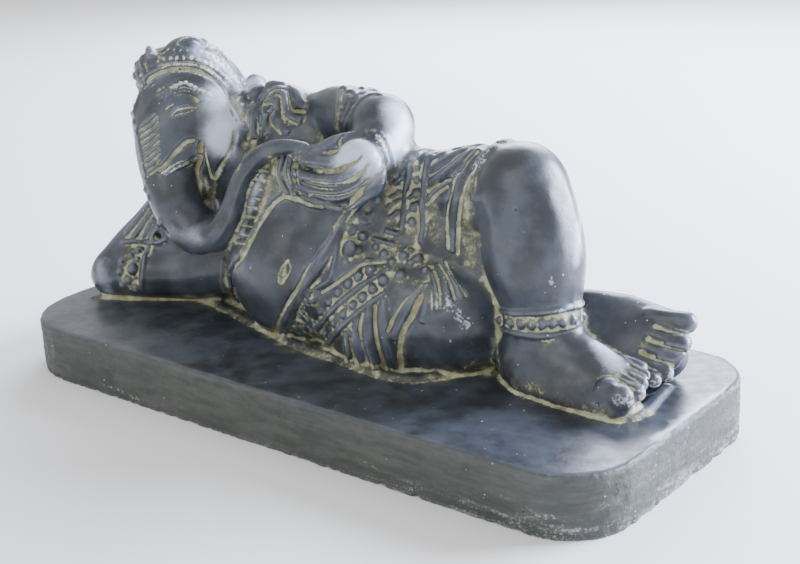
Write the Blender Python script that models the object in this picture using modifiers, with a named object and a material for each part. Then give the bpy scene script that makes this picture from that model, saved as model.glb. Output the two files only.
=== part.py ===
# Reclining elephant-headed figure on a low plinth, cast as one piece of dark stone.
# The figure lies on its right side along X, its head at -X and its feet at +X, and faces -Y.

import math

import bmesh
import bpy
import numpy as np
from mathutils import Euler, Matrix, Vector
from mathutils.bvhtree import BVHTree

# Driving sizes, in metres
FIGURE_LENGTH = 0.410
END_MARGIN = 0.015
SIDE_MARGIN = 0.026
PLINTH_HEIGHT = 0.034
HEAD_CORNER_RADIUS = 0.054
FOOT_CORNER_RADIUS = 0.038
PLINTH_EDGE_ROUND = 0.004

# The figure is drawn on a grid of its own: 410 steps from elbow to toes and 128 from front to
# back, its heights from the plinth's top
STEP = FIGURE_LENGTH / 410
FIGURE_DEPTH = 128 * STEP
PLINTH_LENGTH = FIGURE_LENGTH + 2 * END_MARGIN
PLINTH_WIDTH = FIGURE_DEPTH + 2 * SIDE_MARGIN
BODY_VOXEL = 2.4 * STEP
DETAIL_VOXEL = 1.3 * STEP

# Head and ornament, in steps of the grid
HEAD_CENTRE = (-140, 12)
HEAD_TURN = -10
HEAD_REACH = 90
CROWN_RIM = (138, 150, 152, 143, 126, 110, 102)
BEAD_COUNT = 30
RIB_COUNT = 8
LOCK_COUNT = 5
PLEAT_COUNT = 4
FOLD_COUNT = 6
BANGLE_WIDTH = 14
FIGURE_TRIANGLES = 9200

NODE = "reclining_ganesha"
STONE = (0.10, 0.105, 0.125, 1.0)


def clear_scene():
    for obj in list(bpy.data.objects):
        bpy.data.objects.remove(obj, do_unlink=True)


def grid(point):
    """A point of the figure's grid as metres in the scene."""
    x, y, z = point
    return Vector((x * STEP, y * STEP, z * STEP + PLINTH_HEIGHT))


def ball(centre, radii, turn=(0, 0, 0)):
    """An ellipsoid of the grid: its radii along X, Y and Z, then turned by Euler angles in degrees."""
    if not hasattr(radii, "__len__"):
        radii = (radii,) * 3
    return [("ball", centre, radii, turn)]


def limb(stations, per_span=6):
    """A round-ended tube of the grid through stations (x, y, z, radius)."""
    rows = smooth_path(stations, per_span)
    return [("tube", rows)] + ball(rows[0][:3], rows[0][3]) + ball(rows[-1][:3], rows[-1][3])


def smooth_path(stations, per_span=6):
    """Catmull-Rom rows through the stations, each row a position and its radius."""
    rows = np.array(stations, float)
    padded = np.vstack([2 * rows[0] - rows[1], rows, 2 * rows[-1] - rows[-2]])
    made = []
    for k in range(1, len(padded) - 2):
        a, b, c, d = padded[k - 1 : k + 3]
        for t in np.arange(per_span) / per_span:
            cubic = (3 * b - a - 3 * c + d) * t**3 + (2 * a - 5 * b + 4 * c - d) * t**2
            made.append(0.5 * (2 * b + (c - a) * t + cubic))
    made.append(rows[-1])
    return np.array(made)


def modelled(pieces, name):
    """One mesh object of all the balls and tubes, still overlapping."""
    globes = {segments: globe(segments) for segments in (12, 32)}
    curve = bpy.data.curves.new(name, "CURVE")
    curve.dimensions = "3D"
    curve.bevel_depth = STEP
    curve.bevel_resolution = 3
    curve.use_fill_caps = True
    balls = []
    for piece in pieces:
        if piece[0] == "ball":
            centre, radii, turn = piece[1:]
            spin = Euler([math.radians(angle) for angle in turn]).to_matrix().to_4x4()
            size = Matrix.Diagonal([radius * STEP for radius in radii] + [1.0])
            made = bpy.data.objects.new("ball", globes[12 if max(radii) < 6 else 32])
            made.matrix_world = Matrix.Translation(grid(centre)) @ spin @ size
            bpy.context.scene.collection.objects.link(made)
            balls.append(made)
        else:
            spline = curve.splines.new("POLY")
            spline.points.add(len(piece[1]) - 1)
            for point, row in zip(spline.points, piece[1]):
                point.co = (*grid(row[:3]), 1.0)
                point.radius = row[3]
    tubes = as_mesh(curve)
    tubes.name = name
    bpy.context.scene.collection.objects.link(tubes)
    return joined([tubes] + balls)


def globe(segments):
    work = bmesh.new()
    bmesh.ops.create_uvsphere(work, u_segments=segments, v_segments=segments // 2, radius=1.0)
    mesh = bpy.data.meshes.new("globe")
    work.to_mesh(mesh)
    work.free()
    return mesh


def as_mesh(curve):
    """The curve as a mesh object whose caps are welded to its sides."""
    tubes = bpy.data.objects.new("tubes", curve)
    bpy.context.scene.collection.objects.link(tubes)
    bpy.context.view_layer.update()
    mesh = bpy.data.meshes.new_from_object(tubes.evaluated_get(bpy.context.evaluated_depsgraph_get()))
    bpy.data.objects.remove(tubes, do_unlink=True)
    work = bmesh.new()
    work.from_mesh(mesh)
    bmesh.ops.remove_doubles(work, verts=work.verts, dist=1e-6)
    bmesh.ops.recalc_face_normals(work, faces=work.faces)
    work.to_mesh(mesh)
    work.free()
    return bpy.data.objects.new("tubes", mesh)


def joined(objects):
    bpy.ops.object.select_all(action="DESELECT")
    for obj in objects:
        obj.select_set(True)
    bpy.context.view_layer.objects.active = objects[0]
    bpy.ops.object.join()
    return objects[0]


def applied(obj, kind, **settings):
    modifier = obj.modifiers.new(kind.lower(), kind)
    for key, value in settings.items():
        setattr(modifier, key, value)
    bpy.ops.object.select_all(action="DESELECT")
    obj.select_set(True)
    bpy.context.view_layer.objects.active = obj
    bpy.ops.object.modifier_apply(modifier=modifier.name)
    return obj


def fused(obj, voxel, smoothing):
    applied(obj, "REMESH", mode="VOXEL", voxel_size=voxel, use_smooth_shade=True)
    if smoothing:
        applied(obj, "SMOOTH", factor=0.5, iterations=smoothing)
    return obj


def one_shell(obj):
    """Only the outer skin: sealed pockets between the forms are filled, as they are in the cast."""
    mesh = obj.data
    ends = np.empty(len(mesh.edges) * 2, dtype=np.int64)
    mesh.edges.foreach_get("vertices", ends)
    ends = ends.reshape(-1, 2)
    label = np.arange(len(mesh.vertices))
    while True:
        low = label.copy()
        np.minimum.at(low, ends[:, 0], label[ends[:, 1]])
        np.minimum.at(low, ends[:, 1], label[ends[:, 0]])
        low = low[low]
        if np.array_equal(low, label):
            break
        label = low
    kept = np.bincount(label).argmax()
    work = bmesh.new()
    work.from_mesh(mesh)
    inner = [vert for vert in work.verts if label[vert.index] != kept]
    bmesh.ops.delete(work, geom=inner, context="VERTS")
    work.to_mesh(mesh)
    work.free()
    return obj


def torso():
    return (
        ball((-40, 8, 38), (50, 47, 50))
        + ball((-2, 14, 70), (46, 38, 42))
        + ball((0, 4, 40), (46, 40, 46))
        + ball((-78, 20, 66), (38, 36, 44))
        + ball((-30, 34, 60), (70, 34, 52))
        + ball((32, 5, 22), (54, 43, 42))
        + ball((22, 26, 50), (56, 42, 50))
        + ball((-52, 24, 108), (34, 22, 26))
        + ball((-46, 4, 82), (36, 27, 33))
        + ball((-112, 18, 84), (28, 26, 28))
        + ball((-140, 14, 62), (30, 20, 34))
        + ball((-88, 22, 116), (18, 14, 26))
        + ball((-64, 22, 128), (22, 16, 17))
        + ball((-20, -2, 98), (28, 17, 17))
        + ball((38, 14, 104), (20, 15, 14))
        + ball((66, 12, 66), (22, 18, 22))
        + ball((86, 20, 58), (36, 22, 44))
        + ball((-152, -2, 40), (22, 14, 18))
    )


def arms():
    return (
        limb([(-46, 32, 122, 16.5), (-17, 24, 130, 17), (22, 12, 128, 18.5)])
        + ball((22.5, 11, 127.5), (18, 19.5, 19.5))
        + limb([(24, 11, 127, 17.5), (28, -4, 119, 16), (28, -16, 112, 13)])
        + ball((20, -17, 109), (32, 12, 18), (0, 0, -13))
        + limb([(-90, 20, 30, 26), (-131, 4, 20, 20), (-163, -12, 17, 17.5), (-192, -20, 14, 17)])
        + limb([(-192, -20, 17, 15), (-186, -6, 32, 14), (-172, 4, 48, 14), (-160, 10, 62, 15)])
    )


def legs():
    return (
        limb([(22, 16, 36, 44), (50, 4, 30, 38), (76, 3, 26, 33)])
        + limb([(76, 5, 25, 34), (100, 24, 22, 26), (124, 36, 20, 22)])
        + limb([(40, 26, 84, 24), (70, 22, 94, 24.5), (112, 12, 102, 26)])
        + limb([(116, 10, 103, 26), (122, 9, 86, 27.5), (126, 8, 63, 28), (130, 7, 40, 22), (130, 6, 16, 22)])
        + limb([(125, 4, 12, 20), (150, 0, 12, 18), (176, -2, 6, 14)])
        + limb([(138, 39, 37, 7), (166, 41, 36, 6.5), (190, 43, 34, 6)])
        + limb([(136, 31, 28, 10), (164, 32, 26, 9), (188, 33, 25, 8)])
        + limb([(136, 22, 18, 12), (164, 22, 16, 10), (186, 22, 15, 8)])
        + limb([(130, 42, 18, 19), (160, 42, 16, 18), (184, 42, 14, 14)])
    )


def head():
    trunk = [
        (-143, -12, 128, 13),
        (-137, -18, 118, 14),
        (-130, -23, 104, 16),
        (-117, -28, 85, 17),
        (-108, -30, 68, 15.5),
        (-92, -31, 58, 13.5),
        (-76, -31, 64, 9.5),
    ]
    return (
        ball((-137, 7, 116), (33, 36, 38))
        + ball((-131, -10, 110), (25, 24, 33))
        + ball((-106, 4, 116), (13, 15, 26))
        + limb(trunk)
        + ball((-138, 14, 144), (36, 34, 20), (-8, 8, 0))
        + ball((-132, 10, 156), (24, 21, 12))
        + ball((-131, 8, 164), (14, 13, 8))
    )


def core():
    """The soft forms of the body, grown together."""
    return fused(modelled(torso() + arms() + legs() + head(), "figure"), BODY_VOXEL, 14)


def surface_of(obj):
    bpy.context.view_layer.update()
    return BVHTree.FromObject(obj, bpy.context.evaluated_depsgraph_get())


def dropped(surface, point, sink=0.0):
    """The grid point on the body that is nearest to a point, sunk below the skin if asked."""
    spot, normal = surface.find_nearest(grid(point))[:2]
    spot = spot - normal * sink * STEP
    return spot.x / STEP, spot.y / STEP, (spot.z - PLINTH_HEIGHT) / STEP


def laid(surface, stations, sink=0.0):
    """A raised roll along a path that is dropped onto the body."""
    rows = smooth_path(stations)
    return [("tube", np.array([(*dropped(surface, row[:3], sink), row[3]) for row in rows[::2]]))]


def studs(surface, stations, count, radius, sink=0.0):
    """Round studs spaced evenly along a path that is dropped onto the body."""
    made = []
    for point in spaced(smooth_path([point[:3] for point in stations]), count):
        made += ball(dropped(surface, point, sink), radius)
    return made


def ringed(surface, heights, count=37):
    """Points on the head's skin, seen from its axis: heights go from the face round to the nape."""
    made = []
    for angle in np.linspace(0, 360, count):
        from_face = abs((angle + 180) % 360 - 180)
        height = np.interp(from_face, np.linspace(0, 180, len(heights)), heights)
        turn = math.radians(angle + HEAD_TURN)
        outward = Vector((math.sin(turn), -math.cos(turn), 0))
        start = grid((*HEAD_CENTRE, height)) + outward * HEAD_REACH * STEP
        spot = surface.ray_cast(start, -outward)[0]
        if spot:
            made.append((spot.x / STEP, spot.y / STEP, (spot.z - PLINTH_HEIGHT) / STEP))
    return made


def spaced(points, count):
    """Evenly spaced points along a line of points."""
    rows = np.array(points)
    steps = np.linalg.norm(np.diff(rows, axis=0), axis=1)
    along = np.concatenate([[0], np.cumsum(steps)])
    return [[np.interp(length, along, rows[:, k]) for k in range(3)] for length in np.linspace(0, along[-1], count)]


def sized(points, radius):
    return [(*point[:3], radius) for point in points]


def shifted(points, shift):
    return [tuple(a + b for a, b in zip(point[:3], shift)) for point in points]


def crown(surface):
    """A headband of rolls and bead rows that dips over the brow and the nape, with a jewelled top."""
    made = []
    for lift, size in ((0, 2.2), (11, 1.6), (20, 1.6)):
        made += [("tube", np.array(sized(ringed(surface, [height + lift for height in CROWN_RIM]), size)))]
    for lift, size, count in ((5.5, 2.9, BEAD_COUNT), (15.5, 2.4, BEAD_COUNT)):
        beads = spaced(ringed(surface, [height + lift for height in CROWN_RIM]), count + 1)
        for point in beads[:-1]:
            made += ball(point, size)
    made += ball((-132, 0, 170), (7, 6, 4)) + ball((-127, -8, 166), (6, 4, 5))
    made += ball((-152, -8, 157), (5, 5, 7)) + ball((-163, -4, 146), (5, 6, 6))
    made += ball((-84, 14, 142), (6, 6, 8)) + ball((-94, 10, 145), (5, 5, 7))
    return made


def face(surface):
    """Ear flap, tusk, eye, brow beads and the ribs down the front of the trunk."""
    ear = [(-106, -9, 112, 5), (-105, -8, 96, 5), (-101, -8, 84, 3.5)]
    made = limb(ear) + limb([(-101, -7, 84, 3.5), (-92, -1, 99, 5), (-90, 6, 114, 6)])
    made += ball((-97, -2, 105), (12, 5, 14), (0, 0, 38))
    made += limb([(-106, -16, 106, 4), (-110, -29, 99, 4), (-113, -40, 95, 2.4)])
    made += laid(surface, [(-127, -24, 126, 1.4), (-119, -20, 130, 1.8), (-110, -12, 128, 1.4)])
    for lift in (0, 6):
        made += studs(surface, shifted([(-134, -24, 134), (-119, -17, 142), (-108, -4, 139)], (0, 0, lift)), 11, 1.7)
    for k in range(RIB_COUNT):
        share = k / (RIB_COUNT - 1)
        left = (-136 + 15 * share, -28 - 15 * share, 130 - 37 * share, 1.9)
        right = (-118 + 10 * share, -25 - 11 * share, 133 - 33 * share, 1.7)
        made += laid(surface, [left, right])
    return made


def trunk_end():
    rising = [
        (-78, -32, 60, 10.5),
        (-69, -32, 67, 8.5),
        (-63, -29, 80, 7),
        (-56, -26, 97, 6.3),
        (-47, -22, 108, 5.8),
        (-36, -20, 115, 5.2),
        (-23, -18, 117.5, 4.8),
        (-9, -18, 118, 3.8),
    ]
    return limb(rising)


def left_hand():
    """Fingers that curl round a small bowl, the thumb over its rim."""
    fingers = (
        [(-18, -18, 112, 3.6), (4, -24, 113, 4.4), (24, -29, 116, 4.6), (36, -26, 122, 3)],
        [(-18, -20, 103, 3.4), (6, -27, 103.5, 4), (26, -31, 107, 4.4), (40, -27, 115, 3)],
        [(-16, -20, 96, 3), (9, -27, 96, 3.6), (28, -31, 99, 4), (42, -26, 108, 2.8)],
        [(-12, -20, 90, 2.6), (12, -26, 90, 3.2), (30, -29, 93, 3.6), (44, -24, 101, 2.6)],
        [(-9, -18, 117, 3.2), (7, -22, 121, 3.8), (17, -20, 125, 4.2), (26, -13, 126, 3.4)],
    )
    made = []
    for finger in fingers:
        made += limb(finger)
    made += limb([(-38, -12, 112, 2.4), (-39, -17, 101, 2.4), (-34, -18, 89, 2.4)])
    made += limb([(-25, -14, 115, 2.4), (-26, -20, 104, 2.4), (-20, -20, 91, 2.4)])
    return made


def hair(surface):
    """Wavy locks behind the ear, and a few strands by the lower arm."""
    made = []
    for k in range(LOCK_COUNT):
        x = -82 + 9.5 * k
        bow = 3 * math.sin(1.3 * k)
        lock = [(x + 4, 12, 147, 3), (x + bow, 2, 136, 4), (x + 3 - bow, 0, 124, 4), (x, 2, 112, 3)]
        made += laid(surface, lock)
    for k in range(4):
        made += limb([(-168 + 5 * k, -13 - 3 * k, 42, 2.4), (-158 + 6 * k, -8 - 2 * k, 66, 2.6)])
    return made


def cloth(surface):
    """Borders, belts, pleats, knot, folds and hem of the sarong, and the strap over the chest."""
    border = [(35, -1, 112), (21, -10, 101), (15, -22, 89), (7, -32, 69), (-2, -38, 47), (-27, -36, 13)]
    made = laid(surface, sized(border, 2.8)) + laid(surface, sized(shifted(border, (13, 0, -1)), 2.8))
    made += studs(surface, shifted(border, (22, 0, -3)), 10, 4.2, 0.6)
    for x in (34, 47, 60):
        made += laid(surface, sized([(x, 19, 116), (x + 4, 0, 98), (x + 3, -10, 78), (x + 4, -18, 62)], 2.5))
    made += studs(surface, [(54, 10, 108), (57, -4, 95), (56, -10, 76), (58, -16, 64)], 6, 3.8, 0.8)
    made += studs(surface, [(41, 10, 108), (44, -4, 95), (43, -10, 76), (45, -16, 64)], 6, 3.6, 0.8)
    made += ball((52, -14, 63), (9, 7, 8))
    for k in range(PLEAT_COUNT):
        top = (70 + 9 * k, 8, 121 + k)
        made += laid(surface, sized([top, (68 + 5 * k, -2, 106), (66 + 3 * k, -8, 92 - 4 * k)], 2.2))
    for share in np.linspace(0, 1, FOLD_COUNT):
        middle = (16 + 42 * share, -40 + 4 * share, 34 + 4 * share)
        foot = (-16 + 72 * share, -44 + 4 * share, 4 + 6 * share)
        made += laid(surface, sized([(50, -18, 60), middle, foot], 3))
    hem = [(104, 8, 128), (97, -2, 119), (90, -8, 106), (88, -6, 88), (86, -6, 68)]
    made += laid(surface, sized(hem, 4)) + laid(surface, sized(shifted(hem[:4], (-9, 0, 0)), 2.4))
    fringe = [(-55, -10, 107), (-55, -20, 96), (-56, -27, 85), (-60, -28, 73), (-68, -28, 61)]
    strap = [(-68, -28, 61), (-76, -24, 42), (-82, -20, 24), (-80, -22, 10), (-70, -28, 2)]
    made += laid(surface, sized(fringe, 4.6)) + laid(surface, sized(strap, 2.8))
    for side in (-17, -25):
        made += laid(surface, [(-21, -44, 54, 1.6), (side, -44, 48, 1.8), (-20, -44, 41, 1.6)])
    return made


def bangle(surface, centre, radius, axis, size, stud_count, width=BANGLE_WIDTH, stud=3.6):
    """Two rims round a limb with studs between them."""
    axis = Vector(axis).normalized()
    first = axis.orthogonal().normalized()
    second = axis.cross(first)
    rows = []
    for shift in (-width / 2, 0, width / 2):
        points = []
        for angle in np.linspace(0, 2 * math.pi, 25):
            spoke = first * math.cos(angle) + second * math.sin(angle)
            points.append(tuple(Vector(centre) + axis * shift + spoke * radius))
        rows.append(points)
    made = laid(surface, sized(rows[0], size)) + laid(surface, sized(rows[2], size))
    return made + studs(surface, rows[1], stud_count, stud)


def feet():
    """Toes of the near foot, flat on the plinth, and of the far foot, which lies on its side."""
    made = limb([(176, -13, 10, 5.6), (192, -16, 8, 6)])
    for k in range(4):
        y, z = -6 + 6.2 * k, 12 + 1.6 * k
        made += limb([(177, y, z + 1, 3), (197 - 1.6 * k, y - 1, z - 2, 3)])
    for k in range(5):
        y, z = 42 - 7.2 * k, 35 - 6.3 * k
        made += limb([(182, y - 3, z, 3.6 - 0.2 * k), (200 - k, y, z - 0.5, 4.3 - 0.25 * k)])
    return made


def grooved(obj, stations, depth):
    """A round-bottomed groove pressed into the mesh along a path; the last number is its half width."""
    rows = smooth_path(stations, 12)
    path = np.array([grid(row[:3]) for row in rows])
    wide = rows[:, 3] * STEP
    mesh = obj.data
    points = np.empty(len(mesh.vertices) * 3)
    normals = np.empty(len(mesh.vertices) * 3)
    mesh.vertices.foreach_get("co", points)
    mesh.vertices.foreach_get("normal", normals)
    points, normals = points.reshape(-1, 3), normals.reshape(-1, 3)
    reach = 3 * wide.max()
    near = np.where(np.all((points > path.min(0) - reach) & (points < path.max(0) + reach), axis=1))[0]
    gaps = np.linalg.norm(points[near, None, :] - path[None, :, :], axis=2) / wide[None, :]
    drop = np.exp(-1.4 * gaps.min(1) ** 2)
    points[near] -= normals[near] * (drop * depth * STEP)[:, None]
    mesh.vertices.foreach_set("co", points.ravel())
    mesh.update()


def carve(obj):
    """Cuts that part the cheek, tusk, ear and eye."""
    grooved(obj, [(-118, -43, 99, 2), (-111, -31, 104, 2), (-108, -22, 108, 2), (-107, -15, 112, 2)], 2.6)
    grooved(obj, [(-110, -15, 112, 2), (-110, -13, 98, 2), (-107, -13, 84, 2)], 2.6)
    grooved(obj, [(-85, 8, 118, 2), (-86, 2, 102, 2.2), (-94, -6, 86, 2)], 2.2)
    grooved(obj, [(-126, -26, 124, 1.6), (-118, -22, 125, 1.6), (-110, -14, 125, 1.6)], 1.8)


def figure():
    body = core()
    surface = surface_of(body)
    relief = crown(surface) + face(surface) + trunk_end() + left_hand() + hair(surface) + cloth(surface) + feet()
    relief += bangle(surface, (131, 7, 38), 22, (0.1, 0.1, 1), 2.4, 14)
    relief += bangle(surface, (-10, 22, 130), 20, (1, -0.3, 0.2), 2.4, 12)
    relief += bangle(surface, (-170, -13, 17), 20, (1, 0.3, 0), 2.6, 10, 20, 4.6)
    whole = joined([body, modelled(relief, "relief")])
    one_shell(fused(whole, DETAIL_VOXEL, 1))
    carve(whole)
    return applied(whole, "DECIMATE", ratio=min(1.0, FIGURE_TRIANGLES / (2 * len(whole.data.polygons))))


def plinth():
    """The slab: an outline with round corners, its upper and lower edges rounded."""
    half_length, half_width = PLINTH_LENGTH / 2, PLINTH_WIDTH / 2
    work = bmesh.new()
    outline = []
    turns = ((1, 1, 0), (-1, 1, 90), (-1, -1, 180), (1, -1, 270))
    for side_x, side_y, start in turns:
        corner = FOOT_CORNER_RADIUS if side_x > 0 else HEAD_CORNER_RADIUS
        radius = min(corner, 0.95 * half_width)
        for k in range(13):
            angle = math.radians(start + 90 * k / 12)
            x = side_x * (half_length - radius) + radius * math.cos(angle)
            y = side_y * (half_width - radius) + radius * math.sin(angle)
            outline.append(work.verts.new((x, y, 0)))
    face = work.faces.new(outline)
    raised = bmesh.ops.extrude_face_region(work, geom=[face])
    top = [v for v in raised["geom"] if isinstance(v, bmesh.types.BMVert)]
    bmesh.ops.translate(work, verts=top, vec=(0, 0, PLINTH_HEIGHT))
    bmesh.ops.recalc_face_normals(work, faces=work.faces)
    mesh = bpy.data.meshes.new("plinth")
    work.to_mesh(mesh)
    work.free()
    obj = bpy.data.objects.new("plinth", mesh)
    bpy.context.collection.objects.link(obj)
    rim = obj.vertex_groups.new(name="rim")
    rim.add([v.index for v in mesh.vertices if v.co.z > PLINTH_HEIGHT / 2], 1.0, "REPLACE")
    applied(obj, "BEVEL", width=PLINTH_EDGE_ROUND, segments=3, limit_method="VGROUP", vertex_group="rim")
    obj.vertex_groups.clear()
    return obj


def stone():
    material = bpy.data.materials.new("dark cast stone")
    material.use_nodes = True
    shader = material.node_tree.nodes["Principled BSDF"]
    shader.inputs["Base Color"].default_value = STONE
    shader.inputs["Roughness"].default_value = 0.5
    shader.inputs["Metallic"].default_value = 0.0
    return material


def main():
    clear_scene()
    statue = figure()
    slab = plinth()
    applied(slab, "BOOLEAN", operation="UNION", solver="EXACT", object=statue)
    bpy.data.objects.remove(statue, do_unlink=True)
    one_shell(slab)
    slab.name = NODE
    slab.data.materials.clear()
    slab.data.materials.append(stone())
    collection = bpy.data.collections.new(NODE)
    bpy.context.scene.collection.children.link(collection)
    for home in list(slab.users_collection):
        home.objects.unlink(slab)
    collection.objects.link(slab)
    return slab


if __name__ == "__main__":
    main()
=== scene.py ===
import math

import bmesh
import bpy
import numpy as np
from mathutils import Euler, Matrix, Vector, noise
from mathutils.bvhtree import BVHTree
from mathutils.kdtree import KDTree


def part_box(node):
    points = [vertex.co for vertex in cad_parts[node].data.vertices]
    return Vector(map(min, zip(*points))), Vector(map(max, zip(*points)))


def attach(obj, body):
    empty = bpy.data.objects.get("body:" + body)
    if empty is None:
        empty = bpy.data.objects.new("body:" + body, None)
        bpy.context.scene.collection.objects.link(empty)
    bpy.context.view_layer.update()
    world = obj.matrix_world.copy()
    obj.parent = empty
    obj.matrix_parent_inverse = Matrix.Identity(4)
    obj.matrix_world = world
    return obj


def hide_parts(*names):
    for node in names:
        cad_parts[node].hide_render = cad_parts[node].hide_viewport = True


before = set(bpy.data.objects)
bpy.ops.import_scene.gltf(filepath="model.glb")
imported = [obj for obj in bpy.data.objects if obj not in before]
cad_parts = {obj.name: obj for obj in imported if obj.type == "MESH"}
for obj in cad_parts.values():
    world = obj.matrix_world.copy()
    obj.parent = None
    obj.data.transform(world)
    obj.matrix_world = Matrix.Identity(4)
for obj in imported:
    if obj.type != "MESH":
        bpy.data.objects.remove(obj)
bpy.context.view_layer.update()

# The statue is one casting, so one fine mesh stands for the whole node.
# Places on it come in two ways: steps of the plinth's length (x, y, height over the plinth's top),
# or pixels of the 800 x 564 photo, which are cast from its camera onto the body that they lie on.
nodeName = "reclining_ganesha"
low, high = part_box(nodeName)
step = (high.x - low.x) / 440
plinthTop = 34 * step

camera = {
    "azimuth": 39.573,
    "elevation": 18.294,
    "roll": -2.717,
    "distance": 0.9929,
    "target": (-0.10692, 0.176, 0.0),
    "lens": 59.346,
    "sensor": 36.0,
    "width": 800,
    "height": 564,
}

figure = {
    "bodyVoxel": 2.4,
    "bodySmoothing": 14,
    "fineVoxel": 0.95,
    "triangles": 190000,
    "fineSmoothing": 1,
    "smallBall": 6,
    "smallSegments": 12,
    "largeSegments": 32,
    "hollowRounds": (4, 14, 44),
}

slabSizes = {
    "length": 440,
    "width": 180,
    "height": 34,
    "headCorner": 54,
    "footCorner": 38,
    "topRound": 3,
    "waviness": 0.5,
    "sideRoughness": 0.5,
    "raggedEdge": 1.8,
    "raggedHeight": 7,
    "chipSize": 6,
    "chipFineSize": 2.4,
    "waveLength": 45,
    "lumpSize": 5,
    "grainSize": 2.2,
    "cornerSegments": 14,
    "topSegments": 4,
}

skinWaves = {"length": 14, "depth": 0.35}


# Camera

def direction(azimuth, elevation):
    # towards a place seen from the statue: azimuth 0 is its front, and both are in degrees
    azimuth, elevation = math.radians(azimuth), math.radians(elevation)
    return Vector((math.sin(azimuth) * math.cos(elevation), -math.cos(azimuth) * math.cos(elevation),
                   math.sin(elevation)))


def cameraAxes():
    azimuth, roll = math.radians(camera["azimuth"]), math.radians(camera["roll"])
    back = direction(camera["azimuth"], camera["elevation"])
    right = Vector((math.cos(azimuth), math.sin(azimuth), 0))
    up = back.cross(right)
    turnedRight = math.cos(roll) * right + math.sin(roll) * up
    turnedUp = math.cos(roll) * up - math.sin(roll) * right
    return turnedRight, turnedUp, back


viewRight, viewUp, viewBack = cameraAxes()
eye = Vector(camera["target"]) + viewBack * camera["distance"]
focal = camera["lens"] / camera["sensor"] * camera["width"]


def sightLine(x, y):
    # direction from the eye through a pixel of the photo
    across = (x - camera["width"] / 2) / focal
    down = (y - camera["height"] / 2) / focal
    return (viewRight * across - viewUp * down - viewBack).normalized()


def addCamera():
    data = bpy.data.cameras.new("photo camera")
    data.lens = camera["lens"]
    data.sensor_width = camera["sensor"]
    data.clip_start = 0.01
    holder = bpy.data.objects.new("photo camera", data)
    bpy.context.scene.collection.objects.link(holder)
    axes = Matrix((viewRight, viewUp, viewBack)).transposed().to_4x4()
    holder.matrix_world = Matrix.Translation(eye) @ axes
    bpy.context.scene.camera = holder


# Small modelling helpers

def deselectAll():
    for item in bpy.context.selected_objects:
        item.select_set(False)


def activate(item):
    deselectAll()
    item.select_set(True)
    bpy.context.view_layer.objects.active = item


def applyModifier(item, kind, **settings):
    modifier = item.modifiers.new(kind.lower(), kind)
    for key, value in settings.items():
        setattr(modifier, key, value)
    activate(item)
    bpy.ops.object.modifier_apply(modifier=modifier.name)


def placed(point):
    # a point in steps, its height over the plinth's top, as metres
    return Vector((point[0] * step, point[1] * step, point[2] * step + plinthTop))


def inSteps(spot):
    return (spot.x / step, spot.y / step, (spot.z - plinthTop) / step)


def smoothLine(points, perSpan=6):
    # Catmull-Rom through rows of any length
    rows = np.array(points, float)
    if len(rows) < 3:
        return np.array([rows[0] + (rows[-1] - rows[0]) * share for share in np.linspace(0, 1, perSpan + 1)])
    padded = np.vstack([2 * rows[0] - rows[1], rows, 2 * rows[-1] - rows[-2]])
    made = []
    for k in range(1, len(padded) - 2):
        a, b, c, d = padded[k - 1:k + 3]
        for t in np.arange(perSpan) / perSpan:
            cubic = (3 * b - a - 3 * c + d) * t**3 + (2 * a - 5 * b + 4 * c - d) * t**2
            made.append(0.5 * (2 * b + (c - a) * t + cubic))
    made.append(rows[-1])
    return np.array(made)


def evenly(points, count):
    rows = np.array(points, float)
    along = np.concatenate([[0], np.cumsum(np.linalg.norm(np.diff(rows[:, :2], axis=0), axis=1))])
    places = np.linspace(0, along[-1], count)
    return np.stack([np.interp(places, along, rows[:, k]) for k in range(rows.shape[1])], axis=1)


def ball(centre, radii, turn=(0, 0, 0)):
    if not hasattr(radii, "__len__"):
        radii = (radii, radii, radii)
    return [("ball", centre, radii, turn)]


def limb(stations, perSpan=6):
    rows = smoothLine(stations, perSpan)
    return [("tube", rows)] + ball(rows[0][:3], rows[0][3]) + ball(rows[-1][:3], rows[-1][3])


def globe(segments):
    bpy.ops.mesh.primitive_uv_sphere_add(segments=segments, ring_count=segments // 2, radius=1)
    item = bpy.context.active_object
    item.name = f"globe {segments}"
    return item


def modelled(forms, name):
    # balls are copies of two globes, tubes are splines of one bevelled curve, and all are joined
    small, large = figure["smallSegments"], figure["largeSegments"]
    globes = {segments: globe(segments) for segments in (small, large)}
    curve = bpy.data.curves.new(name, "CURVE")
    curve.dimensions = "3D"
    curve.bevel_depth = step
    curve.bevel_resolution = 3
    curve.use_fill_caps = True
    balls = []
    for form in forms:
        if form[0] == "ball":
            centre, radii, turn = form[1:]
            spin = Euler([math.radians(angle) for angle in turn]).to_matrix().to_4x4()
            size = Matrix.Diagonal([radius * step for radius in radii] + [1.0])
            segments = small if max(radii) < figure["smallBall"] else large
            copy = bpy.data.objects.new("ball", globes[segments].data)
            copy.matrix_world = Matrix.Translation(placed(centre)) @ spin @ size
            bpy.context.scene.collection.objects.link(copy)
            balls.append(copy)
        else:
            spline = curve.splines.new("POLY")
            spline.points.add(len(form[1]) - 1)
            for point, row in zip(spline.points, form[1]):
                point.co = (*placed(row[:3]), 1.0)
                point.radius = row[3]
    tubes = bpy.data.objects.new(name, curve)
    bpy.context.scene.collection.objects.link(tubes)
    activate(tubes)
    bpy.ops.object.convert(target="MESH")
    bpy.ops.object.mode_set(mode="EDIT")
    bpy.ops.mesh.select_all(action="SELECT")
    bpy.ops.mesh.remove_doubles(threshold=1e-6)
    bpy.ops.mesh.normals_make_consistent(inside=False)
    bpy.ops.object.mode_set(mode="OBJECT")
    for item in globes.values():
        bpy.data.objects.remove(item, do_unlink=True)
    return joined([tubes] + balls)


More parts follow.
